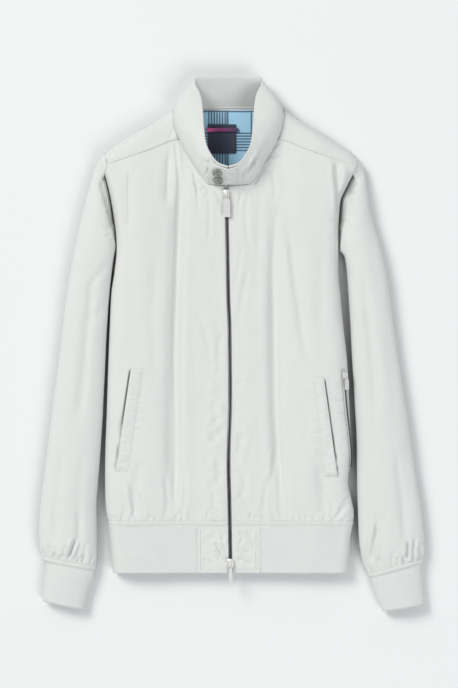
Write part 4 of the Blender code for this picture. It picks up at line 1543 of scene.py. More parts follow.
@dataclass
class BackPanel:
    """Back of the body with a wing over each shoulder."""

    relief: Relief
    shoulders: Relief
    thickness: float = 1.2
    rows: int = 90
    side_steps: int = 10
    flat_columns: int = 34
    neck_columns: int = 12
    wing_under: int = 8
    wing_over: int = 26
    seam_angle: float = 129.0
    armhole_in: float = 1.2
    neck_corner: float = 5.0
    flat_from: float = 100.0
    flat_over: float = 45.0
    row_power: float = 1.3
    tip_y: float = 284.0
    tip_sink: float = 1.0
    tip_reach: float = 5.0
    tip_soft: float = 4.0
    soft_share: float = 0.4
    soft_end: float = 200.0
    soft_over: float = 60.0
    top_start: float = 0.5
    top_reach: float = 7.0
    turn_over: float = 4.0
    seam_lift: float = 0.35
    seam_end: float = 6.0
    neck: Curve = field(default_factory=lambda: Curve((0, 40, 84), (357, 356, 352)))

    def shoulder_line(self, x: Array) -> Array:
        """Y of the inner line of the shoulder fold."""
        return FORM.read("ridge", np.abs(x - FORM.centre_x)) - FORM.under_roll / FORM.ridge_slope

    def top(self, x: Array) -> Array:
        """Y of the flat part's upper edge.

        Args:
            x: X of the points, in millimetres.

        Returns:
            Y of the edge.
        """
        out = np.abs(x - FORM.centre_x)
        blend = ease((out - FORM.neck_side + self.neck_corner) / self.neck_corner)
        return self.neck(out) * (1 - blend) + self.shoulder_line(x) * blend

    def side_point(self, side: Side, step: Array, y: Array) -> Array:
        """Points of the side, which turns into a flat edge above the underarm.

        Args:
            side: half of the jacket.
            step: 0 at the side seam, 1 where the flat underside starts.
            y: level along the jacket.

        Returns:
            Points, with X, Y and Z in the last axis.
        """
        low = FORM.roll_point(side, self.seam_angle + (180 - self.seam_angle) * step, y)
        inward = self.armhole_in + (FORM.under_roll - self.armhole_in) * step
        flat = grid(FORM.side_edge(side, y) - side.value * inward, y, 0.0)
        return low + (flat - low) * ease((y + 0 * step - self.flat_from) / self.flat_over)[..., None]

    def flat_tip(self, side: Side, y: Array) -> Array:
        """X where the flat underside ends."""
        return FORM.side_edge(side, y) - side.value * FORM.under_roll

    def levels(self, top: Array) -> Array:
        """Y of the rows of columns that end at the given tops.

        Args:
            top: upper end of each column.

        Returns:
            Y of every point.
        """
        low = FORM.waist_y + FORM.seam / 2
        share = np.linspace(0, 1, self.rows)[:, None]
        return low + (top - low) * (1 - (1 - share) ** self.row_power)

    def flat_columns_x(self) -> Array:
        """X at the top of each column of the flat underside, from left to right.

        Returns:
            X of the columns.
        """
        centre, out = FORM.centre_x, FORM.neck_side
        left, right = (self.flat_tip(side, self.tip_y) for side in Side)
        inner = out - self.neck_corner
        return np.concatenate([np.linspace(left, centre - out, self.flat_columns),
                               np.linspace(centre - inner, centre + inner, 2 * self.neck_columns),
                               np.linspace(centre + out, right, self.flat_columns)])

    def points(self) -> tuple[Array, Array]:
        """Points of the flat part with its sides, and the top edge of each column.

        Returns:
            Points in rows, and the points of the top edge.
        """
        xs, centre = self.flat_columns_x(), FORM.centre_x

        def tip(y: Array | float) -> Array:
            """X of the flat part's end on the side of each column."""
            return np.where(xs < centre, self.flat_tip(Side.LEFT, y), self.flat_tip(Side.RIGHT, y))

        def x_at(y: Array) -> Array:
            """X of the flat columns at their levels."""
            return centre + (xs - centre) * (tip(y) - centre) / (tip(self.tip_y) - centre)

        y = self.levels(FORM.settle(x_at, self.top, len(xs)))
        flat = grid(x_at(y), y, 0.0)
        steps = np.arange(self.side_steps) / self.side_steps
        sides = []
        for half in Side:
            top = FORM.settle(lambda at, half=half: self.side_point(half, steps, at)[..., 0],
                              self.shoulder_line, len(steps))
            sides.append(self.side_point(half, steps[None, :], self.levels(top)))
        points = np.concatenate([sides[0], flat, sides[1][:, ::-1]], axis=1)
        return points, points[-1]

    def wing(self, side: Side, tops: Array) -> Array:
        """Points of a wing: round the shoulder fold and down the front to the shoulder seam.

        Args:
            side: half of the jacket.
            tops: top edge of the back's columns.

        Returns:
            Rows and columns of points.
        """
        out = side.value * (tops[:, 0] - FORM.centre_x)
        start = tops[out >= FORM.neck_side - 1]
        x, _, z = start.T
        out = np.abs(x - FORM.centre_x)
        tip = abs(float(FORM.side_edge(side, self.tip_y)) - FORM.centre_x)
        lean = (FORM.neck_side - FORM.neck_out) * (tip - out) / (tip - FORM.neck_side)
        ridge = FORM.read("ridge", out)
        turn = np.radians(180 - 90 * np.arange(1, self.wing_under + 1) / self.wing_under)[:, None]
        reach = FORM.under_roll * (1 - np.abs(np.sin(turn)) ** (2 / FORM.under)) / FORM.ridge_slope
        rise = FORM.ridge_z * (1 - np.abs(np.cos(turn)) ** (2 / FORM.under))
        under = grid(x, ridge - reach, np.maximum(rise, z))
        length = ridge - FORM.front_top(x - side.value * lean) - 1.5 * FORM.seam
        turn = np.radians(90 * (1 - np.arange(1, self.wing_over + 1) / self.wing_over))[:, None]
        reach = length * (1 - np.sin(turn))
        x = x - side.value * lean * reach / length
        over = grid(x, ridge - reach, FORM.height(x, ridge - reach))
        outer = np.abs(x - FORM.centre_x) - tip + self.tip_reach
        over[..., 2] -= self.tip_sink * ease(outer / self.tip_soft)
        return np.concatenate([start[None], under, over])

    def build(self) -> Piece:
        """Make the back.

        Returns:
            The dressed piece.
        """
        points, tops = self.points()
        sheet = ClothSheet("back_cloth", self.thickness)
        flat = points[:, ::-1]
        soft = np.maximum(-self.relief.over(flat), 0) * self.soft_share
        sheet.add(flat, -soft * ease((self.soft_end - np.abs(flat[..., 1])) / self.soft_over))
        for side in Side:
            wing = self.wing(side, tops)[:, ::-1]
            upper = ease((wing[..., 2] - FORM.ridge_z) / self.turn_over)
            above = wing[..., 1] - FORM.front_top(wing[..., 0])
            moved = self.shoulders.over(wing) * ease((above - self.top_start) / self.top_reach)
            seam = self.seam_lift * ease((self.seam_end - above) / self.turn_over)
            sheet.add(wing, (moved + seam) * upper)
        return dress(sheet.build(), Finishes.SHELL, "back")


@dataclass(frozen=True)
class Rib:
    """Section of a sleeve or cuff in plan, with its height."""

    outer_x: float
    outer_y: float
    inner_x: float
    inner_y: float
    top: float
    middle: float


@dataclass(frozen=True)
class Dent:
    """Long dent along a sleeve, at a share of its width."""

    at: float
    y_top: float
    y_low: float
    depth: float
    spread: float
    fade: float = 40.0


@dataclass
class Tube:
    """Sleeve or cuff through a table of ribs."""

    side: Side
    name: str
    node: str
    ribs: tuple[Rib, ...]
    relief: Relief
    finish: Finish
    thickness: float
    rows: int
    round_points: int
    armhole: bool = False
    upper_share: float = 0.7
    over_power: float = 2.2
    under_power: float = 2.6
    square: float = 5.0
    armhole_lap: float = 0.7
    armhole_open: float = 2.6
    head_lap: float = 7.0
    head_low: float = 250.0
    head_out: float = 0.7
    armhole_ribs: float = 4.0
    open_low: PlanPoint = (176.0, 10.0)
    open_top: PlanPoint = (262.0, 14.0)
    crevice: float = 7.0
    crevice_low: PlanPoint = (140.0, 30.0)
    crevice_top: PlanPoint = (278.0, 30.0)
    crevice_width: float = 0.17
    least_z: float = 1.3
    cover: float = 0.3
    cover_more: float = 0.9
    cover_over: float = 0.25
    end_band: float = 0.0
    band_soft: float = 4.0
    band_share: float = 0.3
    band_rise: float = 0.8
    low_z: float = 8.0
    low_over: float = 10.0
    dents: tuple[Dent, ...] = ()

    def points(self) -> Array:
        """Rings of points from the upper end to the lower one.

        Returns:
            Points in rings.
        """
        number = np.linspace(0, len(self.ribs) - 1, self.rows)[:, None]
        read = {name: curve(number) for name, curve in column_curves(self.ribs).items()}
        over = round(self.upper_share * self.round_points)
        under = self.round_points - over
        turn = math.pi * np.concatenate([np.arange(over) / over, 1 + np.arange(under) / under])
        head, side = self.ribs[0], self.side.value
        first = np.maximum(1.0 - number, 0.0) * self.armhole
        bend = np.maximum(1 - number / self.armhole_ribs, 0.0) ** 1.5 * self.armhole
        upper = np.sin(turn) >= 0
        power = np.where(upper, self.over_power, self.under_power)
        power = power + (self.square - power) * first
        share = 0.5 - 0.5 * np.cos(turn)
        arch = (1 - np.abs(np.cos(turn)) ** power) ** (1 / power)
        x = read["inner_x"] + (read["outer_x"] - read["inner_x"]) * share
        y = read["inner_y"] + (read["outer_y"] - read["inner_y"]) * share
        line_x = head.inner_x + (head.outer_x - head.inner_x) * share
        line_y = head.inner_y + (head.outer_y - head.inner_y) * share
        gap = self.armhole_open * between(line_y, self.open_low, self.open_top) - self.armhole_lap
        x = x + bend * (FORM.side_edge(self.side, line_y) + side * gap - line_x)
        cap = ease((line_y - self.head_low) / 15) * self.armhole
        tip = abs(head.outer_x - FORM.centre_x) - self.head_lap
        x = x - side * self.head_lap * cap * ease(first)
        y = y + (FORM.read("ridge", tip) + self.head_out - head.outer_y) * cap * ease(first)
        seam = np.minimum(FORM.read("edge", y), FORM.height(x - 3 * side, y))
        peak = read["top"] + (seam - read["top"]) * first
        for dent in self.dents:
            along = between(y, (dent.y_low, dent.fade), (dent.y_top, dent.fade))
            peak = peak - dent.depth * along * bell(share - dent.at, dent.spread)
        low = read["middle"]
        rise = np.where(upper, low + (peak - low) * arch, low * (1 - arch))
        if self.armhole:
            dip = between(y, self.crevice_low, self.crevice_top) * (1 - cap)
            dip = dip * bell(number, self.crevice_width)
            rise = np.where(upper, np.maximum(rise - self.crevice * dip, self.least_z), rise)
            cover = FORM.height(x, y - self.head_out) + self.cover
            cover = cover + self.cover_more * ease(number / self.cover_over)
            rise = rise + np.where(upper, np.maximum(cover - rise, 0.0), 0.0) * cap * ease(2 * first)
        points = grid(x, y, rise)
        return points[:, ::-1] if self.side is Side.RIGHT else points

    def build(self) -> Piece:
        """Make the tube.

        Returns:
            The dressed piece.
        """
        points = self.points()
        rise = self.relief.over(points)
        if self.end_band:
            up = np.linalg.norm(points[..., :2] - points[-1:, :, :2], axis=-1) - 0.9
            rise = rise * rising(up / self.band_soft - 1, self.band_share)
            rise = rise + twin_seam(up, self.end_band, self.band_rise)
        rise = rise * ease((points[..., 2] - self.low_z) / self.low_over)
        item = ClothSheet(self.name, self.thickness, closed=True).add(points, rise).build()
        return dress(item, self.finish, self.node)


@dataclass
class Waistband:
    """Rib round the hem with a woven panel on each side of the zip."""

    relief: Relief
    panel_relief: Relief
    left_end: float = -51.0
    right_end: float = 42.2
    gap: float = 0.4
    lap: float = 0.6
    rows: int = 60
    front_columns: int = 54
    round_columns: int = 30
    back_columns: int = 72
    panel_columns: int = 64
    zip_slot: float = 2.9
    rib_thickness: float = 2.2
    panel_thickness: float = 1.2
    low_z: float = 8.0
    panel_lift: float = 0.4
    seam_drop: float = 1.1
    seam_reach: float = 3.0

    def levels(self) -> Array:
        """Y of the rows, from the seam down."""
        return np.linspace(FORM.waist_y - self.gap, FORM.hem_y, self.rows)[:, None]

    def rib(self) -> Piece:
        """Make the rib, from the left panel round the back to the right panel.

        Returns:
            The dressed piece.
        """
        y = self.levels()
        angles = np.linspace(0, 180, self.round_columns)[None, :]
        halves = []
        for side, end in ((Side.LEFT, self.left_end), (Side.RIGHT, self.right_end)):
            start = FORM.side_edge(side, y) - side.value * FORM.read("roll", y)
            x = end + (start - end) * np.linspace(0, 1, self.front_columns)[:-1]
            front = grid(x, y, FORM.height(x, y))
            halves.append(np.concatenate([front, FORM.roll_point(side, angles, y)], axis=1))
        left, right = halves[0][:, -1:, 0], halves[1][:, -1:, 0]
        x = left + (right - left) * np.linspace(0, 1, self.back_columns)[1:-1]
        points = np.concatenate([halves[0], grid(x, y, 0.0), halves[1][:, ::-1]], axis=1)
        rise = self.relief.over(points) * ease(points[..., 2] / self.low_z - 1)
        item = ClothSheet("hem_rib_knit", self.rib_thickness).add(points, rise).build()
        return dress(item, Finishes.RIB, "hem_rib")

    def panel(self, side: Side) -> Piece:
        """Make the woven panel on one side of the zip.

        Args:
            side: half of the jacket.

        Returns:
            The dressed piece.
        """
        y = self.levels()
        start = FORM.zip_x(y) + side.value * self.zip_slot
        end = self.left_end - self.lap if side is Side.LEFT else self.right_end + self.lap
        x = start + (end - start) * np.linspace(0, 1, self.panel_columns)
        points = grid(x, y, FORM.height(x, y))
        points = points if side is Side.LEFT else points[:, ::-1]
        under = FORM.waist_y - y
        rise = self.panel_relief.over(points) * ease((under - 1.5) / 4.0)
        rise = rise + self.panel_lift - self.seam_drop * ease((self.seam_reach - under) / 2)
        name = "hem_end_" + side.name.lower()
        item = ClothSheet(name + "_cloth", self.panel_thickness).add(points, rise).build()
        return dress(item, Finishes.SHELL, name)

    def build(self) -> list[Piece]:
        """Make the rib and both panels."""
        return [self.rib(), *(self.panel(side) for side in Side)]


@dataclass(frozen=True)
class CollarStrip:
    """Section of the collar from its seam to its upper edge."""

    seam_out: float
    seam_y: float
    seam_z: float
    top_out: float
    top_y: float
    top_z: float
    swell: float


@dataclass
class StandCollar:
    """Stand collar round the neck, with the throat tab over its front ends."""

    relief: Relief
    strips: tuple[CollarStrip, ...] = (
        CollarStrip(0.0, 358.2, 0.4, 0.0, 401.4, 24.0, 0),
        CollarStrip(27.0, 358.0, 0.4, 25.5, 401.4, 24.5, 0),
        CollarStrip(52.0, 357.4, 2.0, 43.5, 400.8, 26.0, 1),
        CollarStrip(73.0, 356.0, 8.0, 50.5, 396.0, 28.0, 4),
        CollarStrip(82.0, 351.6, 18.0, 48.5, 386.5, 32.0, 7),
        CollarStrip(82.6, 342.5, 28.6, 43.2, 376.5, 37.0, 9),
        CollarStrip(80.0, 329.5, 32.2, 39.8, 364.0, 42.0, 9),
        CollarStrip(75.2, 314.0, 33.0, 38.0, 347.5, 47.0, 8),
        CollarStrip(66.0, 294.0, 33.0, 36.6, 324.0, 53.0, 7),
        CollarStrip(54.4, 273.5, 32.5, 34.0, 300.0, 58.0, 6),
        CollarStrip(43.0, 253.0, 31.6, 26.5, 281.5, 61.5, 5),
        CollarStrip(29.0, 240.0, 31.0, 14.0, 267.0, 64.0, 4),
        CollarStrip(1.2, 238.4, 31.0, 0.8, 262.0, 65.0, 3))
    wall: float = 2.4
    half_columns: int = 150
    rows: int = 42
    halvings: int = 24
    seam_rise: float = -0.075
    least_z: float = 0.05
    tab_left: float = -29.0
    tab_right: float = 12.0
    tab_low: float = 0.06
    tab_high: float = 0.94
    tab_thickness: float = 1.8
    tab_lift: float = 0.8
    tab_height: float = 32.0
    tab_round: float = 5.0
    tab_rows: int = 64
    tab_columns: int = 80
    slits: tuple[PlanPoint, ...] = ((0.64, 0.001), (0.30, 0.006))
    slit_left: PlanPoint = (-10.0, 3.0)
    slit_right: PlanPoint = (6.5, 3.0)
    wrinkle: float = 0.3

    def __post_init__(self) -> None:
        """Prepare the curves of the strips."""
        self.curves = column_curves(self.strips)

    def point(self, side: Array, place: Array, rise: Array) -> Array:
        """Points of the outer face.

        Args:
            side: -1 for the left half and 1 for the right.
            place: 0 at the front end, 1 at the middle of the back.
            rise: 0 at the seam, 1 at the upper edge.

        Returns:
            Points, with X, Y and Z in the last axis.
        """
        side, place, rise = np.broadcast_arrays(side, place, rise)
        n = (len(self.strips) - 1) * (1 - place)
        read = {key: curve(n) for key, curve in self.curves.items()}
        out, y, z = (read["seam_" + a] + (read["top_" + a] - read["seam_" + a]) * rise
                     for a in ("out", "y", "z"))
        bulge = 4 * rise * (1 - rise) * read["swell"]
        out_moved = out + 0.8 * out / np.hypot(out, 25.0) * bulge
        return grid(FORM.centre_x + side * out_moved, y, z + 0.7 * bulge)

    def throat(self, x: Array, rise: Array) -> Array:
        """Points of the outer face by their distance from the middle line.

        Args:
            x: distance from the middle line.
            rise: share of the collar's height.

        Returns:
            Points of the face.
        """
        x, rise = np.broadcast_arrays(np.asarray(x, float), np.asarray(rise, float))
        side = np.where(x < 0, -1.0, 1.0)
        low, high = np.zeros(x.shape), np.full(x.shape, 0.4)
        for _ in range(self.halvings):
            middle = (low + high) / 2
            found = np.abs(self.point(side, middle, rise)[..., 0] - FORM.centre_x)
            low = np.where(found < np.abs(x), middle, low)
            high = np.where(found < np.abs(x), high, middle)
        points = self.point(side, (low + high) / 2, rise)
        points[..., 0] = FORM.centre_x + x
        return points

    def over_throat(self, x: Array, rise: Array, distance: Array | float, step: float = 2.0) -> Array:
        """Points over the throat, moved out by a distance.

        Args:
            x: distance from the middle line.
            rise: 0 at the seam, 1 at the upper edge.
            distance: distance from the collar.
            step: distance over which the collar's slope is taken.

        Returns:
            Points, with X, Y and Z in the last axis.
        """
        across = self.throat(x + step, rise) - self.throat(x - step, rise)
        along = self.throat(x, rise + step / 100) - self.throat(x, rise - step / 100)
        normal = np.cross(across, along)
        normal = normal / np.linalg.norm(normal, axis=-1, keepdims=True)
        return self.throat(x, rise) + normal * np.asarray(distance)[..., None]

    def collar(self) -> Piece:
        """Make the collar.

        Returns:
            The dressed piece.
        """
        half = np.linspace(0, 1, self.half_columns)
        place = np.concatenate([half, half[-2::-1]])
        side = np.concatenate([-np.ones(len(half)), np.ones(len(half) - 1)])
        rise = np.linspace(self.seam_rise, 1, self.rows)[:, None]
        points = self.point(side, place, rise)[:, ::-1]
        points[..., 2] = np.maximum(points[..., 2], self.least_z)
        moved = self.relief.over(points) * ease((points[..., 2] - 6.0) / 10.0)
        moved = moved * ease((1 - rise) / 0.12) * ease(rise / 0.1) + 0.45 * bell(1 - rise, 0.035)
        item = ClothSheet("collar_cloth", self.wall).add(points, moved).build()
        return dress(item, Finishes.COLLAR, "collar")

    def tab(self) -> Piece:
        """Make the throat tab, with a rounded free end on the left and two buttonholes.

        Returns:
            The dressed piece.
        """
        low, high, right = self.tab_low, self.tab_high, self.tab_right
        rise = np.linspace(low, high, self.tab_rows)[:, None]
        left = self.tab_left + self.tab_round * (np.abs(rise - 0.5) / 0.5) ** 3
        x = left + (right - left) * np.linspace(0, 1, self.tab_columns)
        ends = np.minimum(x - left, right - x)
        edge = np.minimum(ends, np.minimum(rise - low, high - rise) * self.tab_height)
        lift = self.tab_lift + self.tab_thickness + 0.3 * bell(edge - 1.5, 1.0) - 0.5 * bell(edge, 0.7)
        for at, tilt in self.slits:
            line = at + tilt * (x + 6.0)
            slit = 0.6 * bell(rise - line - 0.06, 0.035) - 0.9 * bell(rise - line, 0.024)
            lift = lift + slit * between(x, self.slit_left, self.slit_right)
        wrinkle = np.sin(rise * 17 + 0.24 * x) + 0.6 * np.sin(rise * 31 - 0.33 * x + 1.0)
        lift = lift + self.wrinkle * wrinkle * ease((edge - 1.0) / 3.0) * ease((x + 16.0) / 8.0)
        points = self.over_throat(x, rise, lift)
        item = ClothSheet("collar_tab_cloth", self.tab_thickness).add(points).build()
        return dress(item, Finishes.COLLAR, "collar_tab")

    def build(self) -> list[Piece]:
        """Make the collar and its tab."""
        return [self.collar(), self.tab()]


@dataclass
class Button:
    """Round sew-through button on the tab."""

    name: str
    across: float
    rise: float
    radius: float = 7.6
    thick: float = 3.2
    steps: int = 48
    hole: float = 0.85
    hole_at: float = 1.5
    face: float = 2.2

    def disc(self) -> Piece:
        """Turned button, still without its holes.

        Returns:
            The button.
        """
        r, t, face = self.radius, self.thick, self.face
        profile = [(0.0, 0.0), (r - 1.0, 0.0), (r - 0.3, 0.3), (r, 1.0), (r, 2.2), (r - 0.3, 2.9),
                   (r - 0.9, t),
                   (r - 1.6, t - 0.1), (r - 2.3, 2.45), (r - 3.0, face), (0.0, face)]
        return turned(self.name + "_disc", profile, self.steps)

    def hole_point(self, k: int, z: float) -> Vector:
        """Place of one of the four holes on the button, in metres."""
        angle = math.pi / 4 + k * math.pi / 2
        return Vector((self.hole_at * math.cos(angle), self.hole_at * math.sin(angle), z)) * MM

    def build(self, collar: StandCollar) -> Piece:
        """Make the button and sew it on.

        Args:
            collar: collar whose tab carries the button.

        Returns:
            The button's thread.
        """
        disc = self.disc()
        cutters = []
        for k in range(4):
            bpy.ops.mesh.primitive_cylinder_add(vertices=14, radius=self.hole * MM, depth=10 * MM,
                                                location=self.hole_point(k, 0.0))
            cutters.append(bpy.context.object)
            cut = disc.modifiers.new("hole", "BOOLEAN")
            cut.operation, cut.object, cut.solver = "DIFFERENCE", cutters[-1], "EXACT"
        item = joined(self.name + "_stone", [disc])
        for cutter in cutters:
            bpy.data.objects.remove(cutter, do_unlink=True)
        smoothed(item, 45)
        lift = collar.tab_lift + collar.tab_thickness
        here = collar.over_throat(self.across, self.rise, lift)
        out = collar.over_throat(self.across, self.rise, lift + 1.0) - here
        turn = Vector(out).to_track_quat("Z", "Y").to_matrix().to_4x4()
        item.matrix_world = Matrix.Translation(Vector(here + out * 0.5) * MM) @ turn
        dress(item, Finishes.BUTTON, self.name)
        return self.thread(item.matrix_world)

    def thread(self, place: Matrix) -> Piece:
        """Make the crossed thread through the holes of the button at its place.

        Args:
            place: matrix of the button's place.

        Returns:
            The dressed thread.
        """
        stitches = Stitches(self.name + "_thread", width=0.7, rise=0.5)
        normal = np.array(place.to_3x3() @ Vector((0, 0, 1)))
        for k in (0, 1):
            foot, tip = (np.array(place @ self.hole_point(hole, self.face)) / MM for hole in (k + 2, k))
            stitches.stitch(foot, tip, normal)
        return dress(stitches.build(), Finishes.THREAD)


def turned(name: str, profile: Sequence[tuple[float, float]], steps: int) -> Piece:
    """Closed turned shape from a profile of radius and height.

    Args:
        name: name of the new object.
        profile: radius and height of its points.
        steps: number of points round the axis.

    Returns:
        The piece.
    """
    vertices: list[tuple[float, float, float]] = []
    rings: list[list[int]] = []
    for radius, rise in profile:
        ring = []
        for k in range(1 if radius == 0 else steps):
            angle = 2 * math.pi * k / steps
            ring.append(len(vertices))
            vertices.append((radius * math.cos(angle), radius * math.sin(angle), rise))
        rings.append(ring)
    faces: list[Face] = []
    for low, high in zip(rings, rings[1:]):
        for k in range(steps):
            n = (k + 1) % steps
            if len(low) == 1:
                faces.append((low[0], high[n], high[k]))
            elif len(high) == 1:
                faces.append((low[k], low[n], high[0]))
            else:
                faces.append((low[k], low[n], high[n], high[k]))
    return mesh_object(name, np.array(vertices), faces)


# ---------------------------------------------------------------- stitches


@dataclass
class Stitches:
    """Rows of small thread stitches that lie on the cloth."""

    name: str
    length: float = 2.3
    gap: float = 0.7
    width: float = 0.45
    rise: float = 0.28
    start: float = 0.3
    above: float = 200.0
    vertices: list[Array] = field(default_factory=list)
    faces: list[Face] = field(default_factory=list)

    def stitch(self, start: Array, end: Array, normal: Array) -> None:
        """Add one stitch between two points.

        Args:
            start: its first end.
            end: its other end.
            normal: direction away from the cloth.
        """
        along = end - start
        across = np.cross(normal, along)
        across = across / max(float(np.linalg.norm(across)), 1e-9)
        base = len(self.vertices)
        self.vertices.append(start - normal * 0.1)
        for share, size in ((0.18, 0.8), (0.5, 1.0), (0.82, 0.8)):
            middle = start + along * share
            half, up = across * self.width / 2 * size, normal * self.rise * size
            self.vertices += [middle - half, middle + up, middle + half]
        self.vertices.append(end - normal * 0.1)
        a, b, c = base + 1, base + 4, base + 7
        self.faces += [(base, a + 1, a), (base, a + 2, a + 1)]
        for low, high in ((a, b), (b, c)):
            self.faces += [(low, low + 1, high + 1, high), (low + 1, low + 2, high + 2, high + 1)]
        self.faces += [(base + 10, c, c + 1), (base + 10, c + 1, c + 2)]

    def lay(self, path: Sequence[PlanPoint], ground: BVHTree, seed: int = 1) -> "Stitches":
        """Lay stitches along a path of the plan, on the cloth below it.

        Args:
            path: points of the plan.
            ground: tree of the cloth.
            seed: seed of the small unevenness.

        Returns:
            The stitches themselves.
        """
        rng = random.Random(seed)
        line = rounded_path(path)
        lengths = run(line)
        place = self.start
        while place + self.length < lengths[-1]:
            ends = []
            for at in (place, place + self.length * rng.uniform(0.92, 1.04)):
                x, y = np.interp(at, lengths, line[:, 0]), np.interp(at, lengths, line[:, 1])
                hit = ground.ray_cast(Vector((x, y, self.above)) * MM, Vector((0, 0, -1)))
                ends.append(hit[:2])
            (a, normal), (b, _) = ends
            if a is not None and b is not None and (a - b).length < 1.8 * self.length * MM:
                self.stitch(np.array(a) / MM, np.array(b) / MM, np.array(normal))
            place += self.length + self.gap
        return self

    def build(self) -> Piece:
        """Make the stitches as one piece."""
        return mesh_object(self.name, np.array(self.vertices), self.faces)


def ground_of(items: Sequence[Piece]) -> BVHTree:
    """Tree of the faces of some pieces, in metres.

    Args:
        items: pieces to lay stitches on.

    Returns:
        The tree.
    """
    vertices: list[Vector] = []
    faces: list[Face] = []
    for item in items:
        start = len(vertices)
        vertices += [item.matrix_world @ vertex.co for vertex in item.data.vertices]
        faces += [tuple(start + i for i in polygon.vertices) for polygon in item.data.polygons]
    return BVHTree.FromPolygons(vertices, faces)


# ---------------------------------------------------------------- zips


def stood(point: Array, up: Array, along: Array, lift: float) -> Matrix:
    """Place of a piece with its Z along up and its Y along the given direction.

    Args:
        point: its origin, in millimetres.
        up: direction of its Z.
        along: direction near its Y.
        lift: distance from the point along Z.

    Returns:
        The matrix.
    """
    z, y = Vector(up).normalized(), Vector(along).normalized()
    x = y.cross(z).normalized()
    y = z.cross(x)
    turn = Matrix((x, y, z)).transposed().to_4x4()
    return Matrix.Translation((Vector(point) + z * lift) * MM) @ turn


@dataclass
class Teeth:
    """Two rows of interlocked metal teeth.

    A section's three sizes are its place along the tooth and its shares of width and thickness.
    """

    name: str
    pitch: float = 2.54
    length: float = 2.6
    width: float = 1.1
    thick: float = 2.0
    offset: float = 0.72
    sections: tuple[tuple[float, float, float], ...] = (
        (-0.5, 0.62, 0.72), (-0.36, 0.86, 1.0), (0.06, 0.8, 1.0), (0.16, 1.0, 1.0), (0.40, 1.0, 0.94),
        (0.5, 0.66, 0.6))
    outline: tuple[PlanPoint, ...] = ((-1, -0.55), (-1, 0.55), (-0.5, 1), (0.5, 1), (1, 0.55), (1, -0.55),
                                      (0.5, -1), (-0.5, -1))

    def tooth(self) -> tuple[Array, list[Face]]:
        """Points and faces of a tooth along +X from the tape, with a rounded head.

        Returns:
            Points and faces.
        """
        vertices = [(along * self.length, a * self.width / 2 * wide, b * self.thick / 2 * high)
                    for along, wide, high in self.sections for a, b in self.outline]
        return np.array(vertices), ring_faces(len(self.sections), len(self.outline))

    def build(self, place: Callable[[float, float], tuple[Array, Array, Array]], low: float,
              high: float) -> Piece:
        """Set the teeth along a zip.

        Args:
            place: rule that gives a point, its outward normal and the zip's direction for a distance
                across the zip and a level.
            low: level of the first tooth.
            high: level of the last.

        Returns:
            The teeth as one piece.
        """
        shape, outline = self.tooth()
        vertices: list[Array] = []
        faces: list[Face] = []
        for k in range(int((high - low) / (self.pitch / 2))):
            side = 1.0 if k % 2 else -1.0
            point, normal, along = place(side * self.offset, low + k * self.pitch / 2)
            along = along / np.linalg.norm(along)
            normal = normal / np.linalg.norm(normal)
            turn = np.stack([np.cross(along, normal) * -side, along, normal], axis=0)
            start = len(vertices)
            vertices += list(shape @ turn + point)
            faces += [tuple(start + i for i in (face if side < 0 else face[::-1])) for face in outline]
        item = mesh_object(self.name, np.array(vertices), faces)
        item.data.set_sharp_from_angle(angle=math.radians(38))
        return item


@dataclass(frozen=True)
class SliderSize:
    """Sizes of a slider."""

    width: float
    length: float
    thick: float
    bow: float
    wire: float
    foot: float


@dataclass(frozen=True)
class PullSize:
    """Sizes of a pull, measured from the bar in the slider's bridge."""

    half: float
    neck: float
    eye: float
    bar: float
    start: float
    hole: float
    length: float
    thick: float
    rise: float = 1.5
    set_back: float = 0.6
    drop: float = math.radians(4)


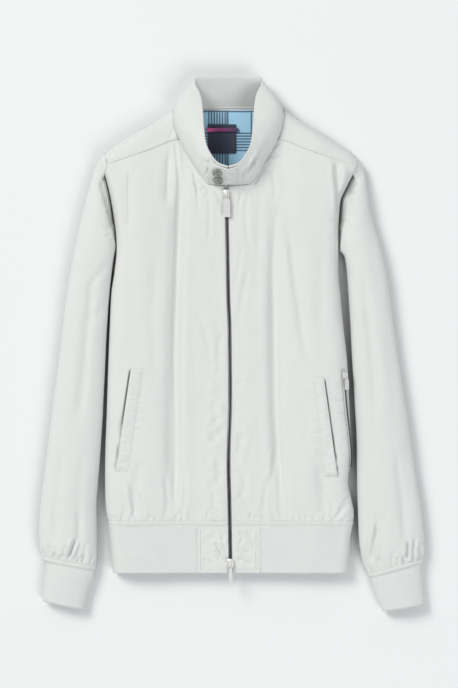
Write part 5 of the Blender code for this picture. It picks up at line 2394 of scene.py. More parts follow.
@dataclass
class Slider:
    """Zip slider with a domed shield, a lower plate and a bridge.

    The outline holds the right half of the shield's corners, as shares of its half width and length.
    """

    name: str
    size: SliderSize
    outline: tuple[PlanPoint, ...] = ((0.30, 1.0), (0.78, 0.93), (1.0, 0.66), (1.0, 0.30), (0.90, -0.10),
                                      (0.80, -0.55), (0.74, -0.86), (0.52, -1.0))
    arch: tuple[float, float] = (-38.0, 218.0)
    arch_steps: int = 20
    wire_steps: int = 10
    wire_width: float = 1.45
    wire_height: float = 0.85
    cheek: float = 0.55

    def plate(self, name: str, low: float, high: float, swell: float) -> Piece:
        """Make a shield-shaped plate.

        Args:
            name: name of the plate.
            low: height of its lower face.
            high: height of its upper face's edge.
            swell: rise of its dome.

        Returns:
            The plate.
        """
        w, h = self.size.width / 2, self.size.length / 2
        points = [(x * w, y * h) for x, y in self.outline]
        points += [(-x, y) for x, y in points[::-1]]
        rings = ((low, 0.93), (low + 0.25, 1.0), (high - 0.5, 1.0), (high - 0.12, 0.9),
                 (high + swell * 0.6, 0.55), (high + swell, 0.25))
        vertices = [(x * share, y * share, z) for z, share in rings for x, y in points]
        return mesh_object(name, np.array(vertices), ring_faces(len(rings), len(points)))

    def bridge(self, name: str, foot: float) -> Piece:
        """Flattened arch that holds the pull.

        Args:
            name: name of the new object.
            foot: lowest level of its middle line.

        Returns:
            The arch.
        """
        size = self.size
        angles = np.radians(np.linspace(*self.arch, self.arch_steps))
        rise = size.thick / 2 + 0.4 * size.bow + np.sin(angles) * size.bow
        line = grid(0.0, np.cos(angles) * size.bow, np.maximum(rise, foot - 0.3))
        vertices: list[Array] = []
        for i, point in enumerate(line):
            ahead = line[min(i + 1, len(line) - 1)] - line[max(i - 1, 0)]
            ahead = ahead / np.linalg.norm(ahead)
            across = np.array([self.wire_width * size.wire, 0.0, 0.0])
            up = np.array([0.0, -ahead[2], ahead[1]]) * self.wire_height * size.wire
            for k in range(self.wire_steps):
                turn = 2 * math.pi * k / self.wire_steps
                vertices.append(point + across * math.cos(turn) + up * math.sin(turn))
        return mesh_object(name, np.array(vertices), ring_faces(len(line), self.wire_steps, flip=True))

    def cheeks(self) -> list[Piece]:
        """Make the two side walls between the plates.

        Returns:
            The walls.
        """
        half, w, h, thin = self.size.thick / 2, self.size.width / 2, self.size.length / 2, self.cheek
        faces = [(3, 2, 1, 0), (4, 5, 6, 7), (0, 1, 5, 4), (1, 2, 6, 5), (2, 3, 7, 6), (3, 0, 4, 7)]
        made = []
        for side in (-1, 1):
            x = side * w * 0.78
            corners = [(x - thin, -h * 0.62), (x + thin, -h * 0.62), (x + thin * 1.2, h * 0.5),
                       (x - thin * 0.8, h * 0.5)]
            vertices = [(a, b, z) for z in (-half + 0.6, half - 0.9) for a, b in corners]
            made.append(mesh_object(f"{self.name}_cheek{side + 1}", np.array(vertices), faces,
                                    smooth=False))
        return made

    def build(self, place: Matrix) -> Piece:
        """Make the slider at its place; its origin is the middle of its body.

        Args:
            place: matrix of its place in the frame.

        Returns:
            The dressed slider.
        """
        half = self.size.thick / 2
        parts = [self.plate(self.name + "_upper", half - 1.5, half - 0.1, 0.35),
                 self.plate(self.name + "_lower", -half, -half + 1.0, 0.0),
                 self.bridge(self.name + "_bridge", half), *self.cheeks()]
        item = joined(self.name + "_cast", parts)
        item.matrix_world = place
        return dress(smoothed(item, 40), Finishes.SILVER, self.name)


@dataclass
class Puller:
    """Flat metal pull with an eye, a rounded body and a raised rim."""

    name: str
    size: PullSize
    body: Body
    rim: float = 1.0
    edge: float = 0.22
    sunk: float = 0.5
    outline_round: float = 1.1
    eye_round: float = 0.6
    window_round: float = 0.8

    def corner(self, points: Sequence[PlanPoint], radius: float) -> list[PlanPoint]:
        """Round the corners of an outline.

        Args:
            points: its corners.
            radius: how far from a corner the rounding starts.

        Returns:
            Points of the outline.
        """
        made: list[PlanPoint] = []
        count = len(points)
        for i in range(count):
            before, here, after = (np.array(points[j % count]) for j in (i - 1, i, i + 1))
            a, b = before - here, after - here
            long_a, long_b = float(np.linalg.norm(a)), float(np.linalg.norm(b))
            reach = min(radius, 0.45 * long_a, 0.45 * long_b)
            start, end = here + a / long_a * reach, here + b / long_b * reach
            for t in (0.0, 0.25, 0.5, 0.75, 1.0):
                made.append(tuple((1 - t) ** 2 * start + 2 * t * (1 - t) * here + t * t * end))
        return made

    def hole(self, half: float, top: float, low: float, radius: float) -> list[PlanPoint]:
        """Rounded rectangle about the middle line."""
        return self.corner([(half, top), (half, low), (-half, low), (-half, top)], radius)

    def sheet(self, name: str, loops: Sequence[Sequence[PlanPoint]], thick: float) -> Piece:
        """Flat piece with holes and softly rounded edges.

        Args:
            name: name of the new object.
            loops: outline and holes.
            thick: thickness.

        Returns:
            The piece.
        """
        curve = bpy.data.curves.new(name, "CURVE")
        curve.dimensions, curve.fill_mode = "2D", "BOTH"
        curve.extrude, curve.bevel_depth = (thick / 2 - self.edge) * MM, self.edge * MM
        curve.bevel_resolution, curve.offset = 2, -self.edge * MM
        for points in loops:
            spline = curve.splines.new("POLY")
            spline.points.add(len(points) - 1)
            spline.use_cyclic_u = True
            for point, (x, y) in zip(spline.points, points):
                point.co = (x * MM, y * MM, 0.0, 1.0)
        return linked(name, curve)

    def build(self, place: Matrix) -> Piece:
        """Make the pull at its place; its origin is on the bar.

        Args:
            place: matrix of its place in the frame.

        Returns:
            The dressed pull.
        """
        s = self.size
        shoulder = -s.neck - s.half + s.eye
        outline = self.corner([(s.eye, s.bar), (s.eye, -s.neck), (s.half, shoulder), (s.half, -s.length),
                               (-s.half, -s.length), (-s.half, shoulder), (-s.eye, -s.neck),
                               (-s.eye, s.bar)],
                              self.outline_round)
        gap = s.eye - s.start
        eye = self.corner([(-gap, -s.bar), (gap, -s.bar), (gap, -s.hole), (-gap, -s.hole)],
                          self.eye_round)
        wide, low = s.half - self.rim, -s.length + self.rim
        window = self.hole(wide, shoulder - 1.6, low + 0.6, self.window_round)
        floor = self.hole(wide + 0.4, shoulder - 1.2, low + 0.2, self.window_round)
        parts = [self.sheet(self.name + "_rim", (outline, eye, window), s.thick),
                 self.sheet(self.name + "_floor", (floor,), s.thick - self.sunk)]
        item = joined(self.name + "_cast", parts)
        item.matrix_world = place
        return dress(smoothed(item, 40), Finishes.SILVER, self.name, self.body)


@dataclass
class ZipEnd:
    """A slider with its pull, at a place on a zip."""

    slider: Slider
    pull: Puller

    def build(self, foot: Array, up: Array, along: Array) -> list[Piece]:
        """Make both at a point of the cloth.

        Args:
            foot: point of the cloth.
            up: normal of the cloth.
            along: direction of the zip.

        Returns:
            The slider and the pull.
        """
        size, sizes = self.slider.size, self.pull.size
        middle = size.foot + size.thick / 2
        place = stood(foot, up, along, middle + size.thick / 2 + sizes.rise)
        place = place @ Matrix.Translation((0, -sizes.set_back * MM, 0))
        place = place @ Matrix.Rotation(sizes.drop, 4, "X")
        return [self.slider.build(stood(foot, up, along, middle)), self.pull.build(place)]


@dataclass
class CentreZip:
    """Zip down the front: tapes, teeth, two sliders and their pulls."""

    size: SliderSize = SliderSize(9.0, 13.0, 4.4, 3.6, 0.8, 0.5)
    top_pull: PullSize = PullSize(5.4, 6.8, eye=3.0, bar=0.7, start=1.3, hole=6.0, length=34.0, thick=1.5)
    low_pull: PullSize = PullSize(2.5, 6.8, eye=2.5, bar=0.7, start=1.0, hole=6.0, length=34.0, thick=1.5)
    top_y: float = 224.0
    low_y: float = -328.0
    teeth_top: float = 216.0
    teeth_end: float = -321.0
    tape_top: float = 240.0
    tape_width: float = 13.0
    tape_thickness: float = 1.0
    tape_lift: float = -1.5
    tape_rows: int = 260
    tape_columns: int = 12
    tooth_lift: float = -0.5

    def over(self, y: float) -> Array:
        """Point of the front's outer face over the zip's middle line."""
        x = float(FORM.zip_x(y))
        return np.array([x, y, float(FORM.height(x, y))])

    def place(self, across: float, y: float) -> tuple[Array, Array, Array]:
        """Point of a tooth, its normal and the zip's direction.

        Args:
            across: distance from the zip's middle line.
            y: level.

        Returns:
            Point, normal and direction.
        """
        here = self.over(y)
        point = here + np.array([across, 0.0, self.tooth_lift])
        return point, np.array([0.0, 0.0, 1.0]), self.over(y + 1) - here

    def tape(self, side: Side) -> Piece:
        """Make one tape.

        Args:
            side: half of the jacket.

        Returns:
            The dressed tape.
        """
        y = np.linspace(FORM.hem_y + 2, self.tape_top, self.tape_rows)[:, None]
        across = np.linspace(FORM.seam / 2, self.tape_width, self.tape_columns) * side.value
        x = FORM.zip_x(y) + (across if side is Side.RIGHT else across[::-1])
        points = grid(x, y, FORM.height(x, y) + self.tape_lift)
        name = "zip_tape_" + side.name.lower()
        item = ClothSheet(name + "_weave", self.tape_thickness).add(points).build()
        return dress(item, Finishes.TAPE, name)

    def build(self) -> list[Piece]:
        """Make the whole zip.

        Returns:
            The pieces.
        """
        made = [self.tape(side) for side in Side]
        teeth = Teeth("zip_chain_teeth").build(self.place, self.teeth_end, self.teeth_top)
        made.append(dress(teeth, Finishes.DARK_METAL, "zip_chain"))
        for name, y, sizes, body in (("top", self.top_y, self.top_pull, Body.PULL_TOP),
                                     ("bottom", self.low_y, self.low_pull, Body.PULL_BOTTOM)):
            end = ZipEnd(Slider("zip_slider_" + name, self.size), Puller("zip_pull_" + name, sizes, body))
            made += end.build(self.over(y), np.array([0.0, 0.0, 1.0]), np.array([0.0, 1.0, 0.0]))
        return made


@dataclass
class SideZip:
    """Small zipped pocket in the right side."""

    size: SliderSize = SliderSize(6.4, 10.0, 3.4, 2.9, 0.65, 3.0)
    pull: PullSize = PullSize(3.6, 5.2, eye=2.3, bar=0.6, start=0.95, hole=4.8, length=21.0, thick=1.2)
    angles: Curve = field(default_factory=lambda: Curve((-192, -160, -120, -80, -40),
                                                        (78, 62, 52, 44, 40)))
    across: float = 2.6
    lift: float = 1.2
    top: float = -38.0
    end: float = -186.0
    slider_y: float = -47.0
    tape_half: float = 3.6
    tape_thickness: float = 0.8
    tape_rows: int = 90
    tape_columns: int = 12
    edge_drop: float = 0.5
    near: float = 0.4
    tooth_lift: float = 0.9

    def point(self, across: Array | float, y: Array | float, lift: float) -> Array:
        """Points over the right side's rounding.

        Args:
            across: distance from the zip's middle line.
            y: level along the jacket.
            lift: distance from the side.

        Returns:
            Points, with X, Y and Z in the last axis.
        """
        turn, y, near = self.angles(y) + np.asarray(across, float) * self.across, np.asarray(y), self.near

        def at(angle: Array, level: Array) -> Array:
            """Point on the rounding."""
            return FORM.roll_point(Side.RIGHT, angle, level)

        normal = np.cross(at(turn + near, y) - at(turn - near, y),
                          at(turn, y + near) - at(turn, y - near))
        return at(turn, y) + normal / np.linalg.norm(normal, axis=-1, keepdims=True) * lift

    def place(self, across: float, y: float) -> tuple[Array, Array, Array]:
        """Point of a tooth, its normal and the zip's direction.

        Args:
            across: distance from the zip's middle line.
            y: level.

        Returns:
            Point, normal and direction.
        """
        level = self.lift + self.tape_thickness + self.tooth_lift
        here = self.point(across, y, level)
        return here, self.point(across, y, level + 1) - here, self.point(across, y + 1, level) - here

    def build(self) -> list[Piece]:
        """Make the tape, the teeth, the slider and the pull.

        Returns:
            The pieces.
        """
        y = np.linspace(self.end, self.top, self.tape_rows)[:, None]
        across = np.linspace(-self.tape_half, self.tape_half, self.tape_columns)
        points = self.point(across, y, self.lift + self.tape_thickness)
        points[..., 2] -= self.edge_drop * np.abs(across / self.tape_half) ** 6
        tape = ClothSheet("side_zip_tape_weave", self.tape_thickness).add(points).build()
        teeth = Teeth("side_zip_teeth", pitch=2.0, length=1.9, width=0.9, thick=1.4, offset=0.55)
        chain = teeth.build(self.place, self.end + 2, self.slider_y - 5.5)
        made = [dress(tape, Finishes.TAPE, "side_zip_tape"),
                dress(chain, Finishes.DARK_METAL, "side_zip_chain")]
        foot = self.point(0.0, self.slider_y, 0.0)
        up = self.point(0.0, self.slider_y, 1.0) - foot
        along = self.point(0.0, self.slider_y + 1, 0.0) - foot
        end = ZipEnd(Slider("side_zip_slider", self.size),
                     Puller("side_zip_pull", self.pull, Body.PULL_SIDE))
        return made + end.build(foot, up, along)


# ---------------------------------------------------------------- pockets, lining and label


@dataclass
class Welt:
    """Slanted pocket welt on a front."""

    name: str
    y_top: float
    y_low: float
    open_top: float
    open_low: float
    fold_top: float
    fold_low: float
    ground: Relief
    thickness: float = 1.2
    rows: int = 110
    columns: int = 20
    length: float = 150.0
    lift: float = 0.7
    low_edge: float = 0.35
    slope: float = 13.0
    end_slope: float = 7.0
    puff: float = 0.4
    puff_over: float = 5.0
    wave: float = 0.3
    line_depth: float = 0.45
    line_in: float = 2.0
    line_width: float = 0.8
    fold_in: float = 3.6

    def corners(self) -> tuple[PlanPoint, PlanPoint, PlanPoint, PlanPoint]:
        """Opening's ends, then the inner edge's."""
        return ((self.open_top, self.y_top), (self.open_low, self.y_low), (self.fold_low, self.y_low),
                (self.fold_top, self.y_top))

    def build(self) -> Piece:
        """Make the welt, puffed between its edges.

        Returns:
            The dressed piece.
        """
        share = np.linspace(0, 1, self.rows)[:, None]
        t = np.linspace(0, 1, self.columns)
        opening = self.open_low + (self.open_top - self.open_low) * share
        inner = self.fold_low + (self.fold_top - self.fold_low) * share
        low, high = np.minimum(opening, inner), np.maximum(opening, inner)
        x = low + (high - low) * t
        y = self.y_low + (self.y_top - self.y_low) * share + 0 * x
        end = self.length * np.minimum(share, 1 - share) + 0 * x
        edge = np.minimum((high - low) * np.minimum(t, 1 - t), end)
        full = self.lift + self.thickness - self.low_edge
        out = self.low_edge + full * ease(np.abs(x - inner) / self.slope) * ease(end / self.end_slope)
        puff = self.puff * ease(edge / self.puff_over)
        puff = puff + self.wave * np.sin(y / 3.9 + 1.6 * np.sin(y / 15)) * ease((edge - 0.5) / 4)
        puff = puff - self.line_depth * bell(edge - self.line_in, self.line_width)
        rise = self.ground.rise(x, y) * (1 - bell(x - opening, self.fold_in)) + out + puff
        points = grid(x, y, FORM.height(x, y))
        item = ClothSheet(self.name + "_cloth", self.thickness).add(points, rise).build()
        return dress(item, Finishes.SHELL, self.name)


@dataclass(frozen=True)
class Patch:
    """Flat rectangle of cloth inside the neck: its ends in X and Y, and its rows of points."""

    x: PlanPoint
    y: PlanPoint
    steps: tuple[int, int]


@dataclass
class NeckInside:
    """What shows through the neck: lining, label and hanger loop."""

    lining: Patch = Patch((-62, 52), (240, 352), (70, 70))
    label: Patch = Patch((-35.6, 6.4), (287.2, 330.8), (44, 44))
    loop: Patch = Patch((-37.9, 10.1), (319.5, 325.0), (60, 9))
    softness: Undulation = Undulation(11, 0.8, 40, 90, 1.0)
    lining_z: float = 2.9
    thickness: float = 1.0
    arch: float = 1.5
    arch_span: float = 48.0
    softened: float = 0.5
    label_lift: float = 0.25
    label_edge: PlanPoint = (0.35, 2.0)
    loop_lift: float = 0.4

    def sheet(self, name: str, patch: Patch, layer: int, rise: Callable[[Array, Array], Array]) -> Piece:
        """Make a soft rectangle.

        Args:
            name: name of the piece.
            patch: its sizes.
            layer: number of pieces below it.
            rise: rule for its own rise over a point.

        Returns:
            The piece.
        """
        x, y = np.meshgrid(np.linspace(*patch.x, patch.steps[0]), np.linspace(*patch.y, patch.steps[1]))
        points = grid(x, y, self.lining_z + layer * (self.thickness + FORM.seam))
        soft = np.abs(self.softness.relief(x, y)) * self.softened
        return ClothSheet(name, self.thickness).add(points, soft + rise(x, y)).build()

    def build(self) -> list[Piece]:
        """Make the pieces inside the neck; the label's upper edge and the loop stand up a little.

        Returns:
            The pieces.
        """
        def label_rise(x: Array, y: Array) -> Array:
            """Rise of the label, most at its upper edge."""
            edge, width = self.label_edge
            return self.label_lift + edge * bell(self.label.y[1] - y, width)

        def loop_rise(x: Array, y: Array) -> Array:
            """Rise of the loop, an arch between its ends."""
            share = np.clip((x - self.loop.x[0]) / self.arch_span, 0, 1)
            return self.loop_lift + self.arch * np.sin(math.pi * share) ** 0.5

        lining = self.sheet("neck_lining_cloth", self.lining, 0, lambda x, y: 0.0)
        label = self.sheet("label_cloth_piece", self.label, 1, label_rise)
        loop = self.sheet("hanger_loop_ribbon", self.loop, 2, loop_rise)
        return [dress(lining, Finishes.LINING, "neck_lining"), dress(label, Finishes.LABEL, "label"),
                dress(loop, Finishes.RIBBON, "hanger_loop")]


# ---------------------------------------------------------------- the photo's folds


class Folds:
    """Relief of each piece, from the creases that the photo shows."""

    FRONT: ClassVar[Relief] = Relief(
        creases=(
            Crease(((-74.6, 285), (-79, 220), (-81.1, 147), (-85.7, -10), (-83, -142), (-87, -264)), 2.2,
                   5.5, 0.12, 0.3, 0.4),
            Crease(((70, 226), (63, 150), (62, 94), (66, -10), (68, -115), (77, -264)), 1.8, 5.5, 0.2,
                   0.3, -0.4),
            Crease(((80, 210), (92, 110), (104, 20), (114, -34)), 0.9, 5.0, 0.35, 0.4),
            Crease(((-92, 306), (-95, 262), (-97, 206)), 0.7, 2.4, 0.3, 0.5),
            Crease(((-86, 308), (-82, 280), (-79, 236)), 1.6, 2.2, 0.3, 0.5),
            Crease(((-153.2, 276), (-153.8, 225), (-153, 164)), 0.8, 1.8, 0.3, 0.5),
            Crease(((-58, 262), (-54, 240), (-48, 222)), 1.8, 2.0),
            Crease(((-46, 252), (-42, 240), (-34, 230)), 1.6, 1.8),
            Crease(((-54, 250), (-51, 228), (-50, 200)), 1.0, 2.4),
            Crease(((-30, 234), (-22, 224), (-16, 206)), 1.5, 2.0),
            Crease(((-36, 234), (-33, 200), (-35, 150)), 0.9, 3.0),
            Crease(((44, 262), (34, 240), (24, 228)), 1.8, 2.0),
            Crease(((30, 246), (22, 234), (8, 226)), 1.6, 1.8),
            Crease(((22, 236), (14, 222), (10, 200)), 1.0, 2.4),
            Crease(((156.2, 283), (157.6, 250), (160.6, 218), (161.6, 190)), 5.2, 4.0, 0.3, 0.3),
            Crease(((170, 272), (169, 252), (168, 236)), -1.8, 3.6, 0.3, 0.2),
            Crease(((58, 262), (64, 240), (66, 216)), 1.4, 2.8),
            Crease(((40, 236), (42, 196), (40, 130)), 0.9, 5.0),
            Crease(((24, 230), (21, 190), (26, 140)), 0.8, 3.4),
            Crease(((26, 120), (14, 60), (10, 20)), 1.0, 4.0),
            Crease(((16, 150), (10, 110), (6, 84)), 0.7, 3.0),
            Crease(((-58, 60), (-40, 20), (-30, -30)), 0.8, 5.0),
            Crease(((-112, 140), (-118, 40), (-114, -60)), 0.9, 8.0),
            Crease(((132, 150), (134, 70), (128, 0)), 0.9, 8.0),
            Crease(((104, -60), (112, -110), (112, -180)), 0.9, 7.0),
            Crease(((-152, -203), (-146, -236), (-138, -266)), 2.0, 3.6, 0.25, 0.5),
            Crease(((-150, -208), (-136, -240), (-130, -262)), 1.6, 3.0, 0.25, 0.5),
            Crease(((-170, -214), (-160, -244), (-158, -266)), 1.2, 3.4),
            Crease(((136, -206), (150, -240), (150, -266)), 1.4, 3.6),
            Crease(((176, -236), (162, -252), (154, -266)), 2.2, 3.2, 0.25, 0.5),
            Crease(((180, -226), (168, -236), (158, -250)), 1.5, 2.6),
            Crease(((58, -190), (50, -230), (46, -262)), 1.6, 4.0),
            Crease(((66, -150), (60, -210), (58, -262)), 1.2, 3.4),
            Crease(((86, -180), (84, -220), (90, -262)), 1.2, 3.4),
            Crease(((-102, -190), (-96, -230), (-98, -264)), 1.2, 3.4),
            Crease(((-72, -180), (-70, -225), (-74, -264)), 1.2, 3.4),
            Crease(((-28, -90), (-22, -106), (-26, -128)), 1.6, 5.0),
            Crease(((-36, -120), (-26, -140), (-18, -150)), 1.2, 4.0),
            Crease(((-24, -160), (-18, -190), (-22, -216)), 1.4, 5.0),
            Crease(((-34, -196), (-26, -230), (-30, -262)), 1.3, 4.0),
            Crease(((8, -130), (14, -146), (10, -166)), 1.5, 4.5),
            Crease(((10, -180), (20, -206), (14, -236)), 1.4, 4.5),
            Crease(((14, -226), (26, -244), (30, -264)), 1.3, 3.6),
            Crease(((-14, 20), (-20, -10), (-16, -44)), 0.9, 4.0),
            Crease(((-151.1, -37), (-162.5, -112), (-173.9, -190)), 5.0, 1.45, 0.05, 0.1),
            Crease(((137.8, -50), (148.3, -123), (158.2, -198)), 5.0, 1.45, 0.05, 0.1),
        ),
        gathers=(
            Gathers(((-186, -270), (-100, -270), (-14, -270)), 11, 22, 1.5, 2.4, 3),
            Gathers(((8, -270), (90, -270), (180, -270)), 11, 22, 1.4, 2.4, 4),
            Gathers(((-14, -260), (-12, -100), (-14, 40)), 24, 13, 0.6, 2.6, 5, 0.6),
            Gathers(((6, 40), (4, -100), (6, -260)), 24, 13, 0.6, 2.6, 6, -0.6),
            Gathers(((-133, -42), (-144, -110), (-155, -188)), 8, 13, 0.9, 1.7, 16),
            Gathers(((-151, -38), (-162, -110), (-173, -188)), 8, 17, 0.8, 1.7, 17),
            Gathers(((137, -196), (130, -120), (122, -52)), 8, 13, 0.9, 1.7, 18),
            Gathers(((157, -196), (147, -120), (137, -52)), 8, 18, 0.9, 1.7, 19),
            Gathers(((178, -176), (172, -110), (164, -56)), 8, 17, 1.1, 1.7, 20),
            Gathers(((-200, 268), (-140, 282), (-80, 305)), 17, 13, 0.8, 2.0, 7, 0.2),
            Gathers(((72, 305), (130, 284), (190, 268)), 17, 13, 0.8, 2.0, 8, -0.2),
            Gathers(((-176, 252), (-170, 215), (-166, 180)), 7, 9, 1.2, 1.6, 9),
            Gathers(((156, 180), (160, 215), (172, 250)), 7, 9, 1.2, 1.6, 10),
            Gathers(((-10, 236), (-34, 240), (-54, 266), (-72, 300)), 8, 20, 1.5, 1.9, 12, 0.9),
            Gathers(((62, 300), (44, 266), (24, 240), (0, 236)), 8, 20, 1.5, 1.9, 13, -0.9),
        ),
        softness=(Undulation(21, 0.8, 34, 100, 3.2), Undulation(22, 0.10, 9, 22, 3.0),
                  Undulation(24, 1.0, 13, 30, 1.2, 14, (-24, -130), (15, 100)),
                  Undulation(25, 1.0, 13, 30, 1.2, 14, (12, -150), (12, 100)),
                  Undulation(26, 0.7, 12, 30, 1.2, 14, (150, -150), (24, 80))))
    SHOULDER: ClassVar[Relief] = Relief(
        creases=(
            Crease(((-87, 322), (-92, 308), (-96, 298)), 1.6, 2.4),
            Crease(((78, 318), (70, 304), (64, 296)), 1.0, 2.4),
            Crease(((-180, 283), (-186, 276), (-190, 268)), 1.2, 2.4)),
        gathers=(Gathers(((-80, 307), (-140, 286), (-200, 270)), 16, 12, 0.7, 2.0, 14),
                 Gathers(((190, 270), (130, 286), (72, 307)), 16, 12, 0.7, 2.0, 15)),
        softness=(Undulation(21, 0.5, 30, 90, 2.5), Undulation(23, 0.10, 9, 22, 2.5)))
    BACK: ClassVar[Relief] = Relief(softness=(Undulation(31, 1.4, 60, 160),))
    SLEEVE_LEFT: ClassVar[Relief] = Relief(
        creases=(
            Crease(((-182, 128), (-198, 104), (-222, 76)), 0.99, 5.0),
            Crease(((-186, 60), (-205, 40), (-236, 24)), 0.77, 7.0),
            Crease(((-247, 40), (-248, -30), (-250, -120)), 0.88, 7.0),
            Crease(((-226, 10), (-230, -60), (-236, -140)), 0.55, 6.0),
            Crease(((-216, -150), (-226, -200), (-232, -262)), 0.77, 6.0),
            Crease(((-262, -150), (-268, -220), (-262, -290)), 0.88, 7.0),
            Crease(((-232, -290), (-239, -306), (-244, -322)), 5.0, 2.6, 0.25, 0.5),
            Crease(((-247, -298), (-250, -310), (-254, -322)), 2.0, 2.4, 0.25, 0.6),
            Crease(((-216, -296), (-220, -310), (-220, -326)), 0.99, 2.6),
            Crease(((-205, 232), (-212, 190), (-222, 150)), 0.66, 6.0)),
        gathers=(Gathers(((-288, -316), (-245, -325), (-204, -333)), 8, 20, 2.4, 2.3, 41),
                 Gathers(((-180, 160), (-182, 200), (-190, 252)), 7, 14, 1.0, 1.8, 42)),
        softness=(Undulation(43, 0.6, 40, 110, 3.6), Undulation(44, 0.10, 9, 22, 3.0)))
    SLEEVE_RIGHT: ClassVar[Relief] = Relief(
        creases=(
            Crease(((172, 118), (190, 80), (206, 30)), 0.88, 6.0),
            Crease(((206, 180), (214, 120), (222, 60)), 0.72, 7.0),
            Crease(((230, 40), (240, -40), (246, -130)), 0.77, 7.0),
            Crease(((204, -40), (212, -120), (216, -200)), 0.66, 7.0),
            Crease(((256, -160), (262, -220), (262, -280)), 0.83, 7.0),
            Crease(((218, -264), (216, -284), (212, -304), (210, -328)), 4.2, 3.2, 0.25, 0.5),
            Crease(((234, -240), (228, -270), (224, -300)), 0.88, 5.0),
            Crease(((264, -292), (264, -308), (262, -326)), 4.4, 2.4, 0.25, 0.5),
            Crease(((276, -290), (272, -304), (272, -322)), 2.2, 2.6, 0.25, 0.6),
            Crease(((244, -304), (242, -318), (244, -334)), 0.99, 2.6)),
        gathers=(Gathers(((206, -346), (246, -335), (290, -325)), 8, 20, 2.4, 2.3, 51),
                 Gathers(((186, 256), (172, 222), (168, 170)), 7, 14, 1.2, 1.8, 52)),
        softness=(Undulation(53, 0.6, 40, 110, 3.6), Undulation(54, 0.10, 9, 22, 3.0)))
    CUFF: ClassVar[Relief] = Relief(softness=(Undulation(61, 0.35, 14, 40, 2.5),))
    HEM: ClassVar[Relief] = Relief(softness=(Undulation(62, 0.5, 16, 60, 3.0),))
    HEM_END: ClassVar[Relief] = Relief(
        creases=(
            Crease(((-26, -296), (-20, -304), (-13, -318)), 2.4, 2.2, 0.3, 0.7),
            Crease(((-30, -310), (-22, -314), (-16, -326)), 1.8, 2.0, 0.3, 0.7),
            Crease(((-38, -286), (-30, -292), (-24, -290)), 1.2, 2.4),
            Crease(((-44, -322), (-34, -326), (-22, -334)), 1.1, 2.4),
            Crease(((-20, -276), (-14, -286), (-12, -300)), 1.4, 2.2),
            Crease(((6, -318), (16, -326), (32, -332)), 2.0, 2.8, 0.3, 0.5),
            Crease(((8, -300), (14, -310), (26, -314)), 1.6, 2.2, 0.3, 0.7),
            Crease(((10, -278), (16, -290), (12, -302)), 1.6, 2.4),
            Crease(((26, -282), (32, -296), (36, -310)), 1.0, 2.6),
            Crease(((-46, -278), (-45.5, -310), (-46, -340)), 0.7, 1.0, 0.05, 0.8),
            Crease(((37.6, -278), (37.0, -310), (37.4, -340)), 0.7, 1.0, 0.05, 0.8)),
        gathers=(Gathers(((-49, -272), (-10, -272)), 6, 10, 0.9, 1.6, 71),
                 Gathers(((6, -272), (40, -272)), 6, 10, 0.9, 1.6, 72)),
        softness=(Undulation(73, 0.6, 12, 34, 1.0),))
    COLLAR: ClassVar[Relief] = Relief(
        creases=(
            Crease(((37, 280), (30, 264), (18, 251)), 3.6, 2.0),
            Crease(((50, 274), (42, 258), (28, 244)), 3.4, 2.0),
            Crease(((44, 290), (38, 276), (27, 263)), 2.2, 2.2),
            Crease(((24, 262), (17, 253), (15, 244)), 2.4, 1.6),
            Crease(((56, 286), (50, 270), (38, 252)), 2.6, 1.8),
            Crease(((32, 258), (24, 248), (16, 243)), -1.6, 1.6),
            Crease(((-32, 262), (-37, 256), (-42, 248)), 1.6, 1.8),
            Crease(((-22, 270), (-32, 268), (-44, 272)), 1.2, 2.2),
            Crease(((40, 268), (52, 288), (60, 314)), 1.6, 5.0),
            Crease(((-50, 268), (-62, 290), (-70, 320)), 1.2, 5.0),
            Crease(((-30, 248), (-40, 262), (-46, 280)), 1.0, 3.0)),
        softness=(Undulation(81, 0.35, 14, 50, 1.0),))


# ---------------------------------------------------------------- seams


class Seams:
    """Lines of topstitching, in plan."""

    ROWS: ClassVar[tuple[tuple[PlanPoint, ...], ...]] = (
        ((-184, -266.4), (-90, -266.4), (-8, -266.4)), ((4, -266.4), (90, -266.4), (180, -266.4)),
        ((-79, 307.5), (-112, 293.5), (-149, 281.6), (-192, 269)),
        ((-78, 311.5), (-112, 297.2), (-149, 285.2), (-192, 272.5)),
        ((69, 307.5), (108, 292.5), (144, 280.8), (184, 269.8)),
        ((68, 311.5), (108, 296.2), (144, 284.4), (184, 273.2)),
        ((-46.6, -274), (-46.2, -310), (-46.6, -341)), ((-54.0, -274), (-54.0, -310), (-54.0, -341)),
        ((38.2, -274), (37.8, -310), (38.2, -341)), ((45.4, -274), (45.4, -310), (45.4, -341)),
        ((-48, -338.4), (-8, -338.4)), ((5, -338.4), (40, -338.4)),
        ((-13.0, 228), (-11.6, 135), (-9.6, 22), (-8.6, -84), (-10.8, -174), (-9.6, -237), (-8.6, -262)),
        ((-2.2, 228), (0.0, 135), (3.0, 22), (3.9, -84), (1.6, -174), (2.8, -237), (3.8, -262)),
        ((-285, -317), (-245, -325.5), (-207, -333)), ((-284, -313.2), (-245, -321.6), (-206, -329)),
        ((208, -342), (246, -332.6), (287, -322)), ((207, -338), (246, -328.6), (287, -318)),
    )


def plan_path(points: Array) -> tuple[PlanPoint, ...]:
    """Path in plan of a row of points."""
    return tuple((float(x), float(y)) for x, y in points[:, :2])


